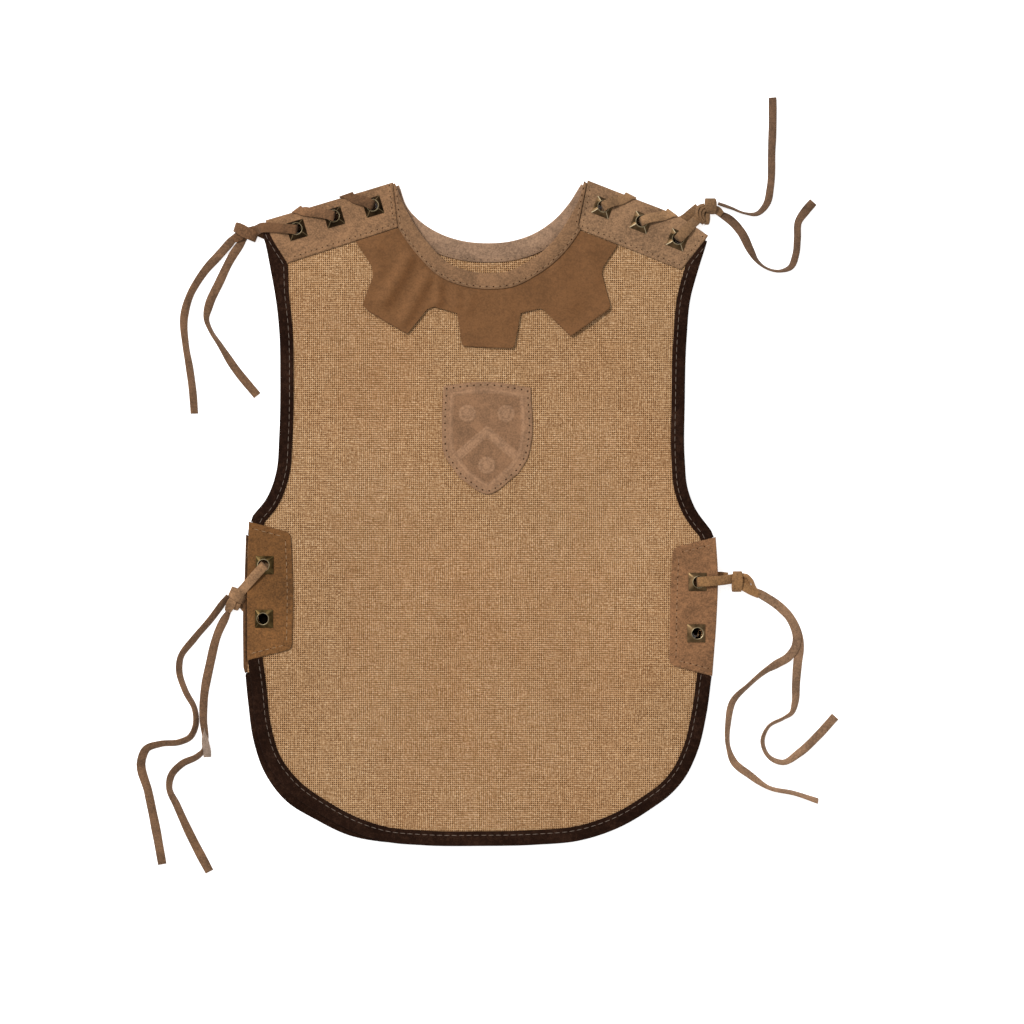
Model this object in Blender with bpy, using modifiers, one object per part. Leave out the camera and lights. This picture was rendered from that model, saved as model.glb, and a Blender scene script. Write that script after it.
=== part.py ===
# A child's knight tabard laid flat: a hessian front on a matching back, bound in dark tape,
# with suede neckbands, a dagged collar, a shield patch and laced suede tabs at shoulders and sides.
# +Z is up, +Y points to the neck, and the surface it lies on is z = 0.
# Tables and sizes are in millimetres; objects are made in metres.

import math
from collections import namedtuple

import bmesh
import bpy
import numpy as np
from mathutils import Matrix, Vector

MM = 0.001

GAP = 0.35  # air between pieces that are sewn together
PANEL_WALL = 1.2
TRIM_WALL = 1.0

ARMHOLE_BINDING = 9.4
HEM_BINDING = 10.6
FRONT_NECKBAND = 11.4
BACK_NECKBAND = 14.2
LEAST_BAND = 1.2
ARMHOLE_START = 0.5  # share of an armhole's first step that its binding leaves to the shoulder tab
BESIDE_TAB = 0.6

EYELET_SIDE = 14.4
EYELET_HOLE = 4.4  # radius
EYELET_RING = 5.2
EYELET_BARREL = 4.75
EYELET_FLANGE = 6.0
EYELET_HEIGHT = 1.6
BRIM = 0.35
FLANGE_WALL = 0.4
HOLE = 5.3
EYELET_SIDES = 8

THONG_WIDTH = 7.0
THONG_WALL = 1.1
THONG_CLEAR = 0.3

RIM_LIFT = TRIM_WALL + GAP
UNDER_CAPS = THONG_CLEAR + THONG_WALL + THONG_CLEAR
TAB_LIFT = UNDER_CAPS + EYELET_HEIGHT + GAP + TRIM_WALL + GAP
CENTRE_SPREAD = 1.4
RIM_SPREAD = 2 * TRIM_WALL + 3 * GAP
TAB_SPREAD = 4.8
RIPPLE = 0.5
RIM_PLATEAU = 18.0
RIM_FADE = 80.0
TAB_PLATEAU = 26.0
TAB_FADE = 72.0
DIP = 1.8  # how far the front's laced edges sag towards the back
DIP_REACH = 36.0
DIP_ENDS = 25.0

Outline = namedtuple(
    "Outline",
    "left_armhole left_side left_hem bottom right_hem right_side right_armhole"
    " left_shoulder neck right_shoulder",
)
Tab = namedtuple("Tab", "place top bottom left right turn eyelets back_shift")
Knot = namedtuple("Knot", "x y length width turn")
TailPoint = namedtuple("TailPoint", "x y roll lift")
Finish = namedtuple("Finish", "colour roughness metallic")

# Edges of each hessian panel, each from the neck end down, and the bottom from left to right.
FRONT = Outline(
    left_armhole=[
        (-170.4, 232.6), (-173.0, 226.0), (-170.6, 216.8), (-166.3, 195.2), (-162.2, 171.2),
        (-159.8, 147.0), (-159.0, 110.0), (-160.0, 59.0), (-161.8, 35.0), (-164.6, 24.0),
        (-170.2, 11.2), (-180.6, -1.8),
    ],
    left_side=[(-180.6, -1.8), (-184.2, -14.0), (-185.2, -60.0), (-184.2, -119.0)],
    left_hem=[(-184.2, -119.0), (-181.8, -137.0), (-178.4, -169.5), (-170.0, -198.0), (-151.6, -222.0)],
    bottom=[
        (-151.6, -222.0), (-128.0, -239.0), (-101.6, -253.0), (-78.0, -260.6), (-45.0, -263.9),
        (0.0, -264.4), (45.0, -263.4), (78.6, -260.2), (112.0, -249.0), (138.0, -233.4), (149.0, -225.4),
    ],
    right_hem=[(183.2, -130.8), (179.3, -160.5), (172.1, -190.5), (161.0, -212.5), (149.0, -225.4)],
    right_side=[(183.0, -13.6), (186.9, -24.0), (188.2, -50.0), (186.8, -88.0), (183.2, -130.8)],
    right_armhole=[
        (180.6, 221.4), (179.4, 217.0), (172.6, 195.2), (166.6, 173.0), (163.6, 140.0),
        (162.2, 90.0), (162.2, 43.0), (164.6, 19.5), (170.4, 4.0), (183.0, -13.6),
    ],
    left_shoulder=[(-170.4, 232.6), (-69.4, 263.4)],
    neck=[
        (-69.4, 263.4), (-61.8, 245.0), (-52.2, 228.2), (-39.8, 212.0), (-27.8, 200.4), (-10.8, 193.4),
        (7.4, 191.2), (23.5, 193.0), (37.6, 200.0), (49.0, 207.6), (58.2, 216.2), (71.4, 234.8),
        (79.4, 249.8), (83.8, 264.6),
    ],
    right_shoulder=[(83.8, 264.6), (124.0, 250.2), (160.4, 235.0), (180.6, 221.4)],
)
BACK = Outline(
    left_armhole=[
        (-169.4, 232.0), (-171.6, 226.0), (-169.2, 216.6), (-165.0, 195.2), (-160.8, 171.2),
        (-158.3, 147.0), (-157.5, 110.0), (-158.6, 59.0), (-160.6, 35.0), (-163.6, 24.0),
        (-170.6, 8.0), (-184.6, -12.8),
    ],
    left_side=[
        (-184.6, -12.8), (-185.4, -24.0), (-185.8, -70.0), (-185.6, -112.0), (-187.0, -129.4),
    ],
    left_hem=[(-187.0, -129.4), (-185.1, -150.0), (-180.4, -183.0), (-172.4, -206.0), (-154.6, -229.6)],
    bottom=[
        (-154.6, -229.6), (-132.0, -243.6), (-104.4, -256.6), (-80.0, -261.4), (-45.0, -262.6),
        (0.0, -262.8), (45.0, -261.6), (77.6, -257.8), (110.0, -246.6), (135.0, -231.4), (145.4, -223.4),
    ],
    right_hem=[(180.2, -131.4), (176.0, -160.0), (169.0, -189.5), (157.6, -211.0), (145.4, -223.4)],
    right_side=[(180.4, -14.0), (184.2, -24.0), (185.4, -50.0), (184.0, -88.0), (180.2, -131.4)],
    right_armhole=[
        (179.4, 220.8), (177.8, 216.0), (171.0, 195.2), (165.0, 173.0), (162.0, 140.0),
        (160.6, 90.0), (160.6, 43.0), (162.8, 19.5), (168.4, 4.0), (180.4, -14.0),
    ],
    left_shoulder=[(-169.4, 232.0), (-66.4, 262.8)],
    neck=[
        (-66.4, 262.8), (-59.6, 244.6), (-48.4, 232.9), (-31.3, 222.7), (-14.3, 217.6), (5.2, 215.9),
        (25.6, 217.6), (42.9, 223.3), (60.0, 234.7), (71.6, 247.6), (81.6, 263.4),
    ],
    right_shoulder=[(81.6, 263.4), (124.0, 249.4), (160.4, 234.2), (179.4, 220.8)],
)
ARMHOLE_STEPS, SIDE_STEPS, HEM_STEPS = 12, 5, 6
SHOULDER_STEPS, NECK_STEPS = 5, 14
TAB_GRID = (7, 3)  # long way, short way

# Tabs: the four edges of the front one, the way its eyelets are turned, and where its back twin lies.
TABS = [
    Tab(
        "shoulder_left",
        top=[(-171.6, 234.4), (-69.8, 264.8)],
        bottom=[(-154.0, 200.4), (-65.8, 229.0)],
        left=[(-171.6, 234.4), (-168.6, 225.0), (-154.0, 200.4)],
        right=[(-69.8, 264.8), (-65.8, 229.0)],
        turn=16.5,
        eyelets=[(-85.7, 245.4), (-116.9, 236.8), (-146.7, 226.8)],
        back_shift=(0.0, 0.0),
    ),
    Tab(
        "shoulder_right",
        top=[(85.6, 266.4), (124.3, 251.4), (160.8, 236.1), (182.0, 222.2)],
        bottom=[(77.8, 227.8), (160.2, 195.0)],
        left=[(85.6, 266.4), (77.8, 227.8)],
        right=[(182.0, 222.2), (160.2, 195.0)],
        turn=-21.5,
        eyelets=[(97.8, 244.7), (128.3, 232.8), (157.4, 218.9)],
        back_shift=(0.0, 0.0),
    ),
    Tab(
        "side_left",
        top=[(-184.9, -6.0), (-155.2, -13.9), (-152.4, -15.8)],
        bottom=[(-186.1, -116.8), (-154.0, -108.7), (-151.2, -107.0)],
        left=[(-184.9, -6.0), (-186.4, -60.8), (-186.1, -116.8)],
        right=[(-152.4, -15.8), (-151.2, -19.0), (-149.6, -60.0), (-150.3, -104.0), (-151.2, -107.0)],
        turn=0.0,
        eyelets=[(-172.2, -40.8), (-172.7, -83.6)],
        back_shift=(-2.4, -10.6),
    ),
    Tab(
        "side_right",
        top=[(154.6, -28.4), (158.4, -25.6), (187.8, -18.4)],
        bottom=[(151.6, -119.0), (155.2, -121.6), (185.1, -129.4)],
        left=[(154.6, -28.4), (153.2, -32.0), (151.6, -70.0), (150.8, -115.6), (151.6, -119.0)],
        right=[(187.8, -18.4), (189.6, -46.0), (188.5, -84.0), (185.1, -129.4)],
        turn=0.0,
        eyelets=[(173.2, -54.2), (172.2, -95.2)],
        back_shift=(-2.5, 0.0),
    ),
]

# The dagged collar's outer edge from the left tab to the right one, with how far round the neck each lies.
DagPoint = namedtuple("DagPoint", "x y round_neck")
COLLAR_EDGE = [
    DagPoint(-99.2, 216.6, 0.00), DagPoint(-87.0, 198.3, 0.06), DagPoint(-85.7, 190.3, 0.09),
    DagPoint(-94.3, 167.8, 0.13), DagPoint(-91.0, 163.2, 0.15), DagPoint(-75.0, 153.4, 0.20),
    DagPoint(-58.5, 144.2, 0.25), DagPoint(-42.6, 163.8, 0.31), DagPoint(-37.2, 165.8, 0.34),
    DagPoint(-18.7, 160.5, 0.42), DagPoint(-15.0, 136.4, 0.44), DagPoint(-13.4, 134.2, 0.45),
    DagPoint(6.0, 133.2, 0.53), DagPoint(25.4, 132.5, 0.60), DagPoint(27.1, 134.2, 0.61),
    DagPoint(32.2, 160.6, 0.635), DagPoint(47.8, 164.5, 0.70), DagPoint(50.4, 163.2, 0.715),
    DagPoint(72.4, 142.2, 0.79), DagPoint(88.0, 153.0, 0.84), DagPoint(103.1, 163.8, 0.885),
    DagPoint(103.9, 166.8, 0.90), DagPoint(97.0, 191.8, 0.945), DagPoint(98.0, 197.0, 0.965),
    DagPoint(109.4, 214.2, 1.00),
]
COLLAR_ENDS = ((-63.0, 225.4), (75.4, 225.6))
COLLAR_TUCK = 3.0
COLLAR_ROWS = 5
COLLAR_LIFT = 0.2

SHIELD_TOP = [(-29.5, 102.6), (4.6, 105.9), (40.2, 101.0)]
SHIELD_LEFT = [(-29.5, 102.6), (-30.8, 68.8), (-29.6, 50.0), (-16.6, 29.0)]
SHIELD_RIGHT = [(40.2, 101.0), (40.2, 55.5), (37.6, 45.0), (29.8, 32.3)]
SHIELD_BOTTOM = [(-16.6, 29.0), (5.4, 16.0), (29.8, 32.3)]
SHIELD_STEPS = 6

KNOTS = {
    "shoulder_left": Knot(-188.4, 225.6, 18.0, 12.0, -28.0),
    "shoulder_right": Knot(180.6, 243.4, 17.0, 12.0, 55.0),
    "side_left": Knot(-197.2, -68.2, 17.0, 11.0, 75.0),
    "side_right": Knot(209.8, -53.9, 18.0, 12.0, -35.0),
}
KNOT_HEIGHT = 7.6
KNOT_STAND = 0.4
KNOT_ROUND = 2.6

# Free tails of the thongs, from the knot to the cut end; roll stands the flat thong on its edge.
TAILS = {
    "shoulder_left_a": [
        TailPoint(-196.8, 222.3, 8, 2.6), TailPoint(-211.1, 206.3, 0, 1.0),
        TailPoint(-220.1, 196.4, 20, 0), TailPoint(-227.0, 186.4, 40, 0), TailPoint(-232.5, 176.5, 45, 0),
        TailPoint(-237.9, 156.6, 35, 0), TailPoint(-236.6, 136.6, 50, 0), TailPoint(-233.3, 116.8, 45, 0),
        TailPoint(-230.7, 96.9, 40, 0), TailPoint(-229.5, 80.4, 35, 0),
    ],
    "shoulder_left_b": [
        TailPoint(-190.8, 219.0, 12, 0), TailPoint(-199.7, 206.0, 10, 0), TailPoint(-209.4, 186.4, 10, 0),
        TailPoint(-218.1, 166.6, 30, 0), TailPoint(-219.8, 156.6, 60, 0), TailPoint(-216.1, 146.6, 70, 0),
        TailPoint(-209.6, 136.6, 62, 0), TailPoint(-196.9, 116.8, 30, 0), TailPoint(-179.2, 95.0, 8, 0),
    ],
    "shoulder_right_a": [
        TailPoint(190.4, 249.0, 55, 0), TailPoint(201.1, 245.2, 70, 0), TailPoint(211.3, 241.2, 75, 0),
        TailPoint(221.5, 240.6, 62, 0), TailPoint(229.2, 248.3, 45, 0), TailPoint(232.3, 261.6, 40, 0),
        TailPoint(233.4, 290.0, 40, 0), TailPoint(234.2, 312.6, 35, 0), TailPoint(234.2, 334.0, 30, 0),
    ],
    "shoulder_right_b": [
        TailPoint(188.0, 242.6, 30, 0), TailPoint(199.6, 236.4, 15, 0), TailPoint(209.3, 225.8, 10, 0),
        TailPoint(216.4, 211.6, 28, 0), TailPoint(221.0, 203.6, 60, 0), TailPoint(229.7, 196.8, 75, 0),
        TailPoint(239.9, 194.7, 72, 0), TailPoint(248.5, 197.8, 55, 0), TailPoint(252.6, 207.5, 45, 0),
        TailPoint(254.0, 220.8, 45, 0), TailPoint(254.9, 234.4, 38, 0), TailPoint(260.3, 242.6, 15, 0),
        TailPoint(267.0, 250.4, 0, 0),
    ],
    "side_left_a": [
        TailPoint(-205.4, -69.4, 45, 0), TailPoint(-216.7, -84.8, 48, 0), TailPoint(-230.2, -100.6, 45, 0),
        TailPoint(-240.8, -115.7, 55, 0), TailPoint(-241.7, -124.5, 55, 0), TailPoint(-236.6, -142.0, 58, 0),
        TailPoint(-229.2, -156.3, 62, 0), TailPoint(-228.8, -171.0, 58, 0), TailPoint(-233.0, -178.9, 50, 0),
        TailPoint(-240.6, -182.6, 48, 0), TailPoint(-257.4, -184.4, 42, 0), TailPoint(-268.0, -188.3, 36, 0),
        TailPoint(-272.0, -197.0, 18, 0), TailPoint(-266.6, -223.4, 5, 0), TailPoint(-260.0, -256.0, 0, 0),
        TailPoint(-255.5, -281.1, 0, 0),
    ],
    "side_left_b": [
        TailPoint(-201.4, -76.7, 20, 0), TailPoint(-210.7, -95.4, 12, 0), TailPoint(-217.3, -120.9, 0, 0),
        TailPoint(-221.7, -145.0, 20, 0), TailPoint(-222.2, -166.1, 40, 0), TailPoint(-220.6, -181.1, 58, 0),
        TailPoint(-221.6, -188.8, 62, 0), TailPoint(-227.0, -194.2, 50, 0), TailPoint(-239.3, -200.2, 36, 0),
        TailPoint(-248.2, -210.0, 45, 0), TailPoint(-249.5, -220.2, 58, 0), TailPoint(-244.0, -232.5, 48, 0),
        TailPoint(-234.8, -253.3, 25, 0), TailPoint(-222.7, -277.4, 5, 0), TailPoint(-217.6, -287.0, 0, 0),
    ],
    "side_right_a": [
        TailPoint(217.4, -59.85, 4, 1.8), TailPoint(239.9, -74.4, 4, 1.9), TailPoint(246.8, -81.4, 6, 1.9),
        TailPoint(251.2, -89.1, 8, 1.9), TailPoint(253.4, -97.4, 8, 1.9), TailPoint(252.4, -106.4, 6, 1.9),
        TailPoint(246.6, -114.8, 6, 1.9), TailPoint(238.0, -120.0, 15, 0.6), TailPoint(229.7, -124.8, 50, 0),
        TailPoint(215.0, -137.0, 60, 0), TailPoint(202.2, -150.3, 40, 0), TailPoint(198.5, -167.0, 50, 0),
        TailPoint(198.4, -186.1, 62, 0), TailPoint(203.2, -198.9, 35, 0), TailPoint(215.7, -209.1, 40, 0),
        TailPoint(231.0, -219.3, 70, 0), TailPoint(251.4, -223.8, 68, 0), TailPoint(270.6, -230.1, 62, 0),
    ],
    "side_right_b": [
        TailPoint(216.9, -59.5, 4, 0), TailPoint(239.9, -74.6, 4, 0), TailPoint(247.2, -81.8, 6, 0),
        TailPoint(252.4, -90.0, 8, 0), TailPoint(255.2, -98.6, 8, 0), TailPoint(256.0, -108.2, 6, 0),
        TailPoint(254.5, -118.5, 8, 0), TailPoint(253.0, -136.3, 15, 0), TailPoint(252.0, -152.0, 35, 0),
        TailPoint(249.3, -159.5, 55, 0), TailPoint(243.0, -163.6, 68, 0), TailPoint(231.0, -170.2, 68, 0),
        TailPoint(226.0, -182.2, 62, 0), TailPoint(231.6, -195.0, 66, 0), TailPoint(242.5, -199.1, 62, 0),
        TailPoint(255.2, -191.8, 40, 0), TailPoint(270.6, -177.8, 15, 0), TailPoint(284.6, -162.5, 0, 0),
    ],
}
STEPS_PER_TAIL_POINT = 2
STEPS_PER_LACE_POINT = 2

FINISHES = {
    "hessian": Finish((0.50, 0.30, 0.14), 0.95, 0.0),
    "binding": Finish((0.026, 0.012, 0.007), 0.8, 0.0),
    "light_suede": Finish((0.33, 0.19, 0.11), 0.9, 0.0),
    "brown_suede": Finish((0.22, 0.11, 0.05), 0.9, 0.0),
    "thong_suede": Finish((0.26, 0.15, 0.08), 0.85, 0.0),
    "antique_brass": Finish((0.16, 0.11, 0.05), 0.35, 1.0),
}


# Scene, materials and helpers

for old in list(bpy.data.objects):
    bpy.data.objects.remove(old, do_unlink=True)

parts = bpy.data.collections.new("knight_tabard")
cutters = bpy.data.collections.new("cutters")
bpy.context.scene.collection.children.link(parts)
bpy.context.scene.collection.children.link(cutters)


def material_named(name, finish):
    material = bpy.data.materials.new(name)
    material.use_nodes = True
    shader = material.node_tree.nodes["Principled BSDF"]
    shader.inputs["Base Color"].default_value = (*finish.colour, 1.0)
    shader.inputs["Roughness"].default_value = finish.roughness
    shader.inputs["Metallic"].default_value = finish.metallic
    return material


def finish_object(name, mesh_bm, finish):
    """A named object in the parts collection, with its round parts shaded smooth."""
    mesh = bpy.data.meshes.new(name)
    mesh_bm.to_mesh(mesh)
    mesh_bm.free()
    mesh.shade_smooth()
    mesh.set_sharp_from_angle(angle=math.radians(40))
    mesh.materials.append(material_named(name + "_" + finish, FINISHES[finish]))
    made = bpy.data.objects.new(name, mesh)
    parts.objects.link(made)
    return made


def ease(share):
    share = min(max(share, 0.0), 1.0)
    return share * share * (3.0 - 2.0 * share)


def line_distance(x, y, line):
    """The distance in plan from a point to a line of points."""
    along = line[1:] - line[:-1]
    from_start = np.array([x, y]) - line[:-1]
    share = (from_start * along).sum(axis=1) / (along**2).sum(axis=1)
    nearest = line[:-1] + along * np.clip(share, 0.0, 1.0)[:, None]
    return float(np.hypot(nearest[:, 0] - x, nearest[:, 1] - y).min())


def tangents_through(knots, steps):
    slopes = np.diff(knots, axis=0) / steps[:, None]
    before, after = steps[:-1, None], steps[1:, None]
    inner = (slopes[1:] * before + slopes[:-1] * after) / (before + after)
    return slopes, np.vstack([slopes[:1], inner, slopes[-1:]])


def without_overshoot(slopes, tangents):
    """Tangents held down so that the line never passes beyond its points."""
    held = tangents.copy()
    least = np.minimum(abs(slopes[1:]), abs(slopes[:-1]))
    same_way = slopes[1:] * slopes[:-1] > 0.0
    held[1:-1] = np.where(same_way, np.sign(slopes[1:]) * np.minimum(abs(held[1:-1]), 2.0 * least), 0.0)
    return held


def smooth_line(points, per_span, place_columns=2):
    """A smooth line through the points, each span between two of them cut into equal steps."""
    knots = np.array(points, float)
    steps = np.linalg.norm(np.diff(knots[:, :place_columns], axis=0), axis=1)
    slopes, tangents = tangents_through(knots, steps)
    tangents[:, 2:] = without_overshoot(slopes[:, 2:], tangents[:, 2:])
    line = []
    for i, step in enumerate(steps):
        for t in np.arange(per_span) / per_span:
            line.append(
                knots[i] * (1 + 2 * t) * (1 - t) ** 2
                + knots[i + 1] * t * t * (3 - 2 * t)
                + tangents[i] * step * t * (1 - t) ** 2
                + tangents[i + 1] * step * t * t * (t - 1)
            )
    return np.array(line + [knots[-1]])


def even_line(points, steps):
    """The smooth line through the points, cut into equal lengths."""
    fine = smooth_line(points, 24)
    lengths = np.append(0.0, np.cumsum(np.linalg.norm(np.diff(fine, axis=0), axis=1)))
    at = np.linspace(0.0, lengths[-1], steps + 1)
    return np.column_stack([np.interp(at, lengths, column) for column in fine.T])


def joined(*lines):
    """Lines that follow one another, each starting where the last one ends."""
    return np.vstack([lines[0]] + [line[1:] for line in lines[1:]])


def between_edges(top, bottom, left, right):
    """A net of points filled in from its four edges, row by row from the top."""
    v = np.linspace(0.0, 1.0, len(left))[:, None, None]
    u = np.linspace(0.0, 1.0, len(top))[None, :, None]
    across = (1 - v) * top[None] + v * bottom[None]
    down = (1 - u) * left[:, None] + u * right[:, None]
    corners = (1 - v) * ((1 - u) * top[0] + u * top[-1]) + v * ((1 - u) * bottom[0] + u * bottom[-1])
    return across + down - corners


# Outlines and layers

def cut_edges(outline):
    steps = Outline(
        ARMHOLE_STEPS, SIDE_STEPS, HEM_STEPS, SHOULDER_STEPS * 2 + NECK_STEPS, HEM_STEPS, SIDE_STEPS,
        ARMHOLE_STEPS, SHOULDER_STEPS, NECK_STEPS, SHOULDER_STEPS,
    )
    return Outline(*[even_line(edge, count) for edge, count in zip(outline, steps)])


def top_of(edges):
    return joined(edges.left_shoulder, edges.neck, edges.right_shoulder)


def left_of(edges):
    return joined(edges.left_armhole, edges.left_side, edges.left_hem)


def right_of(edges):
    return joined(edges.right_armhole, edges.right_side, edges.right_hem)


def whole_outline(edges):
    return joined(top_of(edges), right_of(edges), edges.bottom[::-1], left_of(edges)[::-1])


def tab_net(tab):
    columns, rows = TAB_GRID if tab.place.startswith("shoulder") else TAB_GRID[::-1]
    return between_edges(
        even_line(tab.top, columns), even_line(tab.bottom, columns),
        even_line(tab.left, rows), even_line(tab.right, rows),
    )


def net_outline(net):
    return joined(net[0], net[:, -1], net[-1, ::-1], net[::-1, 0])


front_edges = cut_edges(FRONT)
back_edges = cut_edges(BACK)
outlines = [whole_outline(front_edges), whole_outline(back_edges)]
tab_nets = {tab.place: tab_net(tab) for tab in TABS}


def outer_edge(tab):
    """The laced edge of a tab, without its ends."""
    name = {"shoulder_left": "top", "shoulder_right": "top", "side_left": "left", "side_right": "right"}
    fine = even_line(getattr(tab, name[tab.place]), 20)
    from_ends = np.minimum(
        np.linalg.norm(fine - fine[0], axis=1), np.linalg.norm(fine - fine[-1], axis=1)
    )
    return fine[from_ends > DIP_ENDS]


eyelet_lines = [np.array(tab.eyelets) for tab in TABS]
laced_edges = [outer_edge(tab) for tab in TABS]


def near_edge(x, y):
    distance = min(line_distance(x, y, line) for line in outlines)
    return 1.0 - ease((distance - RIM_PLATEAU) / RIM_FADE)


def near_tab(x, y):
    distance = min(line_distance(x, y, line) for line in eyelet_lines)
    return 1.0 - ease((distance - TAB_PLATEAU) / TAB_FADE)


def dip(x, y):
    distance = min(line_distance(x, y, line) for line in laced_edges)
    return DIP * max(0.0, 1.0 - distance / DIP_REACH) ** 2


def back_under(x, y):
    """The underside of the back panel: flat in the middle, raised by what is sewn to its edges."""
    rim = RIM_LIFT * near_edge(x, y)
    return rim + (TAB_LIFT - rim) * near_tab(x, y)


def back_over(x, y):
    return back_under(x, y) + PANEL_WALL


def front_under(x, y):
    ripple = RIPPLE * math.sin(x / 31.0 + 1.3 * math.sin(y / 70.0)) * (1.0 - near_edge(x, y))
    spread = CENTRE_SPREAD + ripple + (RIM_SPREAD - CENTRE_SPREAD) * near_edge(x, y)
    spread += (TAB_SPREAD - spread) * near_tab(x, y)
    return back_over(x, y) + spread - dip(x, y)


def front_over(x, y):
    return front_under(x, y) + PANEL_WALL


def on_front(x, y):
    return front_over(x, y) + GAP


def under_collar(x, y):
    return on_front(x, y) + COLLAR_LIFT


def under_back(x, y):
    return back_under(x, y) - GAP - TRIM_WALL


# Cloth pieces

def cloth(name, net, height, wall, finish):
    """A wall of cloth on a net of points, with its underside at the height given."""
    rows, columns = net.shape[0] - 1, net.shape[1] - 1
    made = bmesh.new()
    bmesh.ops.create_grid(made, x_segments=columns, y_segments=rows, size=1.0)
    for vert in made.verts:
        column = round((vert.co.x + 1.0) / 2.0 * columns)
        row = round((1.0 - vert.co.y) / 2.0 * rows)
        x, y = net[row, column]
        vert.co = Vector((x, y, height(x, y))) * MM
    piece = finish_object(name, made, finish)
    solidify = piece.modifiers.new("wall", "SOLIDIFY")
    solidify.thickness = wall * MM
    solidify.offset = 1.0
    return piece


def punch(piece, cutter):
    hole = piece.modifiers.new("eyelet_holes", "BOOLEAN")
    hole.operation = "DIFFERENCE"
    hole.solver = "EXACT"
    hole.object = cutter


def loft(rings, closed):
    """A skin over rings of equal count; a loft that isn't closed gets a cap at each end."""
    made = bmesh.new()
    loops = [[made.verts.new(Vector(point) * MM) for point in ring] for ring in rings]
    count = len(loops[0])
    pairs = list(zip(loops, loops[1:] + loops[:1])) if closed else list(zip(loops, loops[1:]))
    for low, high in pairs:
        for i in range(count):
            j = (i + 1) % count
            made.faces.new((low[i], low[j], high[j], high[i]))
    if not closed:
        made.faces.new(loops[0])
        made.faces.new(loops[-1])
    bmesh.ops.recalc_face_normals(made, faces=made.faces)
    return made


def inward(path):
    """The direction in plan from each point of an edge into the cloth, which lies on the left of the walk."""
    along = np.gradient(path, axis=0)
    across = np.column_stack([-along[:, 1], along[:, 0]])
    return across / np.linalg.norm(across, axis=1)[:, None]


def room(point, direction, outline):
    """How far a band can reach from a point before it meets an outline."""
    reach = math.inf
    for start, end in zip(outline, outline[1:]):
        side = end - start
        cross = direction[0] * side[1] - direction[1] * side[0]
        if abs(cross) < 1e-9:
            continue
        offset = start - point
        distance = (offset[0] * side[1] - offset[1] * side[0]) / cross
        share = (offset[0] * direction[1] - offset[1] * direction[0]) / cross
        if distance > 0.0 and 0.0 <= share <= 1.0:
            reach = min(reach, distance)
    return reach


def beside_tab(point, ahead, edge):
    """Where a walk from a point meets the air beside a tab's edge, and the edge's direction into the cloth."""
    along = edge[-1] - edge[0]
    along /= np.linalg.norm(along)
    across = np.array([-along[1], along[0]])
    across *= np.sign(np.dot(point - edge[0], across))
    away = np.dot(point - edge[0], across) - BESIDE_TAB
    return point - ahead * away / np.dot(ahead, across), along


def up_to_tab(path, side_line, edge):
    """A band's path and directions, carried on from its last point along the side to a tab's edge."""
    ahead = side_line[1] - side_line[0]
    ahead /= np.linalg.norm(ahead)
    end, along = beside_tab(path[-1], ahead, edge)
    return np.vstack([path, end]), along


def folded_band(name, path, into_cloth, width, side, under_gap, over_gap, finish):
    """A band folded over a cloth edge: one leg above the cloth, one below and a wall outside."""
    under, over, tab_lines = side
    out = -GAP - TRIM_WALL
    rings = []
    for point, into in zip(path, into_cloth):
        free = min(room(point, into, outline) for outline in tab_lines)
        reach = max(min(width, free - BESIDE_TAB), LEAST_BAND)
        low, high = under(*point), over(*point)
        end = point + into * reach
        section = [
            (out, low - under_gap - TRIM_WALL), (out, high + over_gap + TRIM_WALL),
            (reach, over(*end) + over_gap + TRIM_WALL), (reach, over(*end) + over_gap),
            (-GAP, high + over_gap), (-GAP, low - under_gap),
            (reach, under(*end) - under_gap), (reach, under(*end) - under_gap - TRIM_WALL),
        ]
        rings.append([(*(point + into * step), height) for step, height in section])
    return finish_object(name, loft(rings, closed=False), finish)


def panel(name, edges, height):
    net = between_edges(top_of(edges), edges.bottom, left_of(edges), right_of(edges))
    return cloth(name, net, height, PANEL_WALL, "hessian")


# Eyelets

def ring_points(radius, height, square=False):
    points = []
    for i in range(EYELET_SIDES):
        angle = 2.0 * math.pi * i / EYELET_SIDES + math.pi / 4.0
        x, y = math.cos(angle), math.sin(angle)
        reach = radius / max(abs(x), abs(y)) if square else radius
        points.append((x * reach, y * reach, height))
    return points


def eyelet_mesh():
    """A square pyramid cap with a round hole, on a barrel with a rolled flange inside the cloth."""
    inside = -(TRIM_WALL + GAP + PANEL_WALL + GAP)
    half = EYELET_SIDE / 2.0
    rings = [
        ring_points(half, GAP, square=True),
        ring_points(half, GAP + BRIM, square=True),
        ring_points(EYELET_RING, GAP + EYELET_HEIGHT),
        ring_points(EYELET_HOLE, GAP + EYELET_HEIGHT),
        ring_points(EYELET_HOLE, inside - FLANGE_WALL),
        ring_points(EYELET_FLANGE, inside - FLANGE_WALL),
        ring_points(EYELET_FLANGE, inside),
        ring_points(EYELET_BARREL, inside),
        ring_points(EYELET_BARREL, GAP),
    ]
    return loft(rings, closed=True)


def slope_turn(x, y, height, up):
    """The rotation that stands an object on the surface."""
    step = 4.0
    rise_x = (height(x + step, y) - height(x - step, y)) / (2.0 * step)
    rise_y = (height(x, y + step) - height(x, y - step)) / (2.0 * step)
    normal = Vector((-rise_x, -rise_y, 1.0)) * up
    return Vector((0.0, 0.0, 1.0)).rotation_difference(normal).to_matrix().to_4x4()


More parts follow.
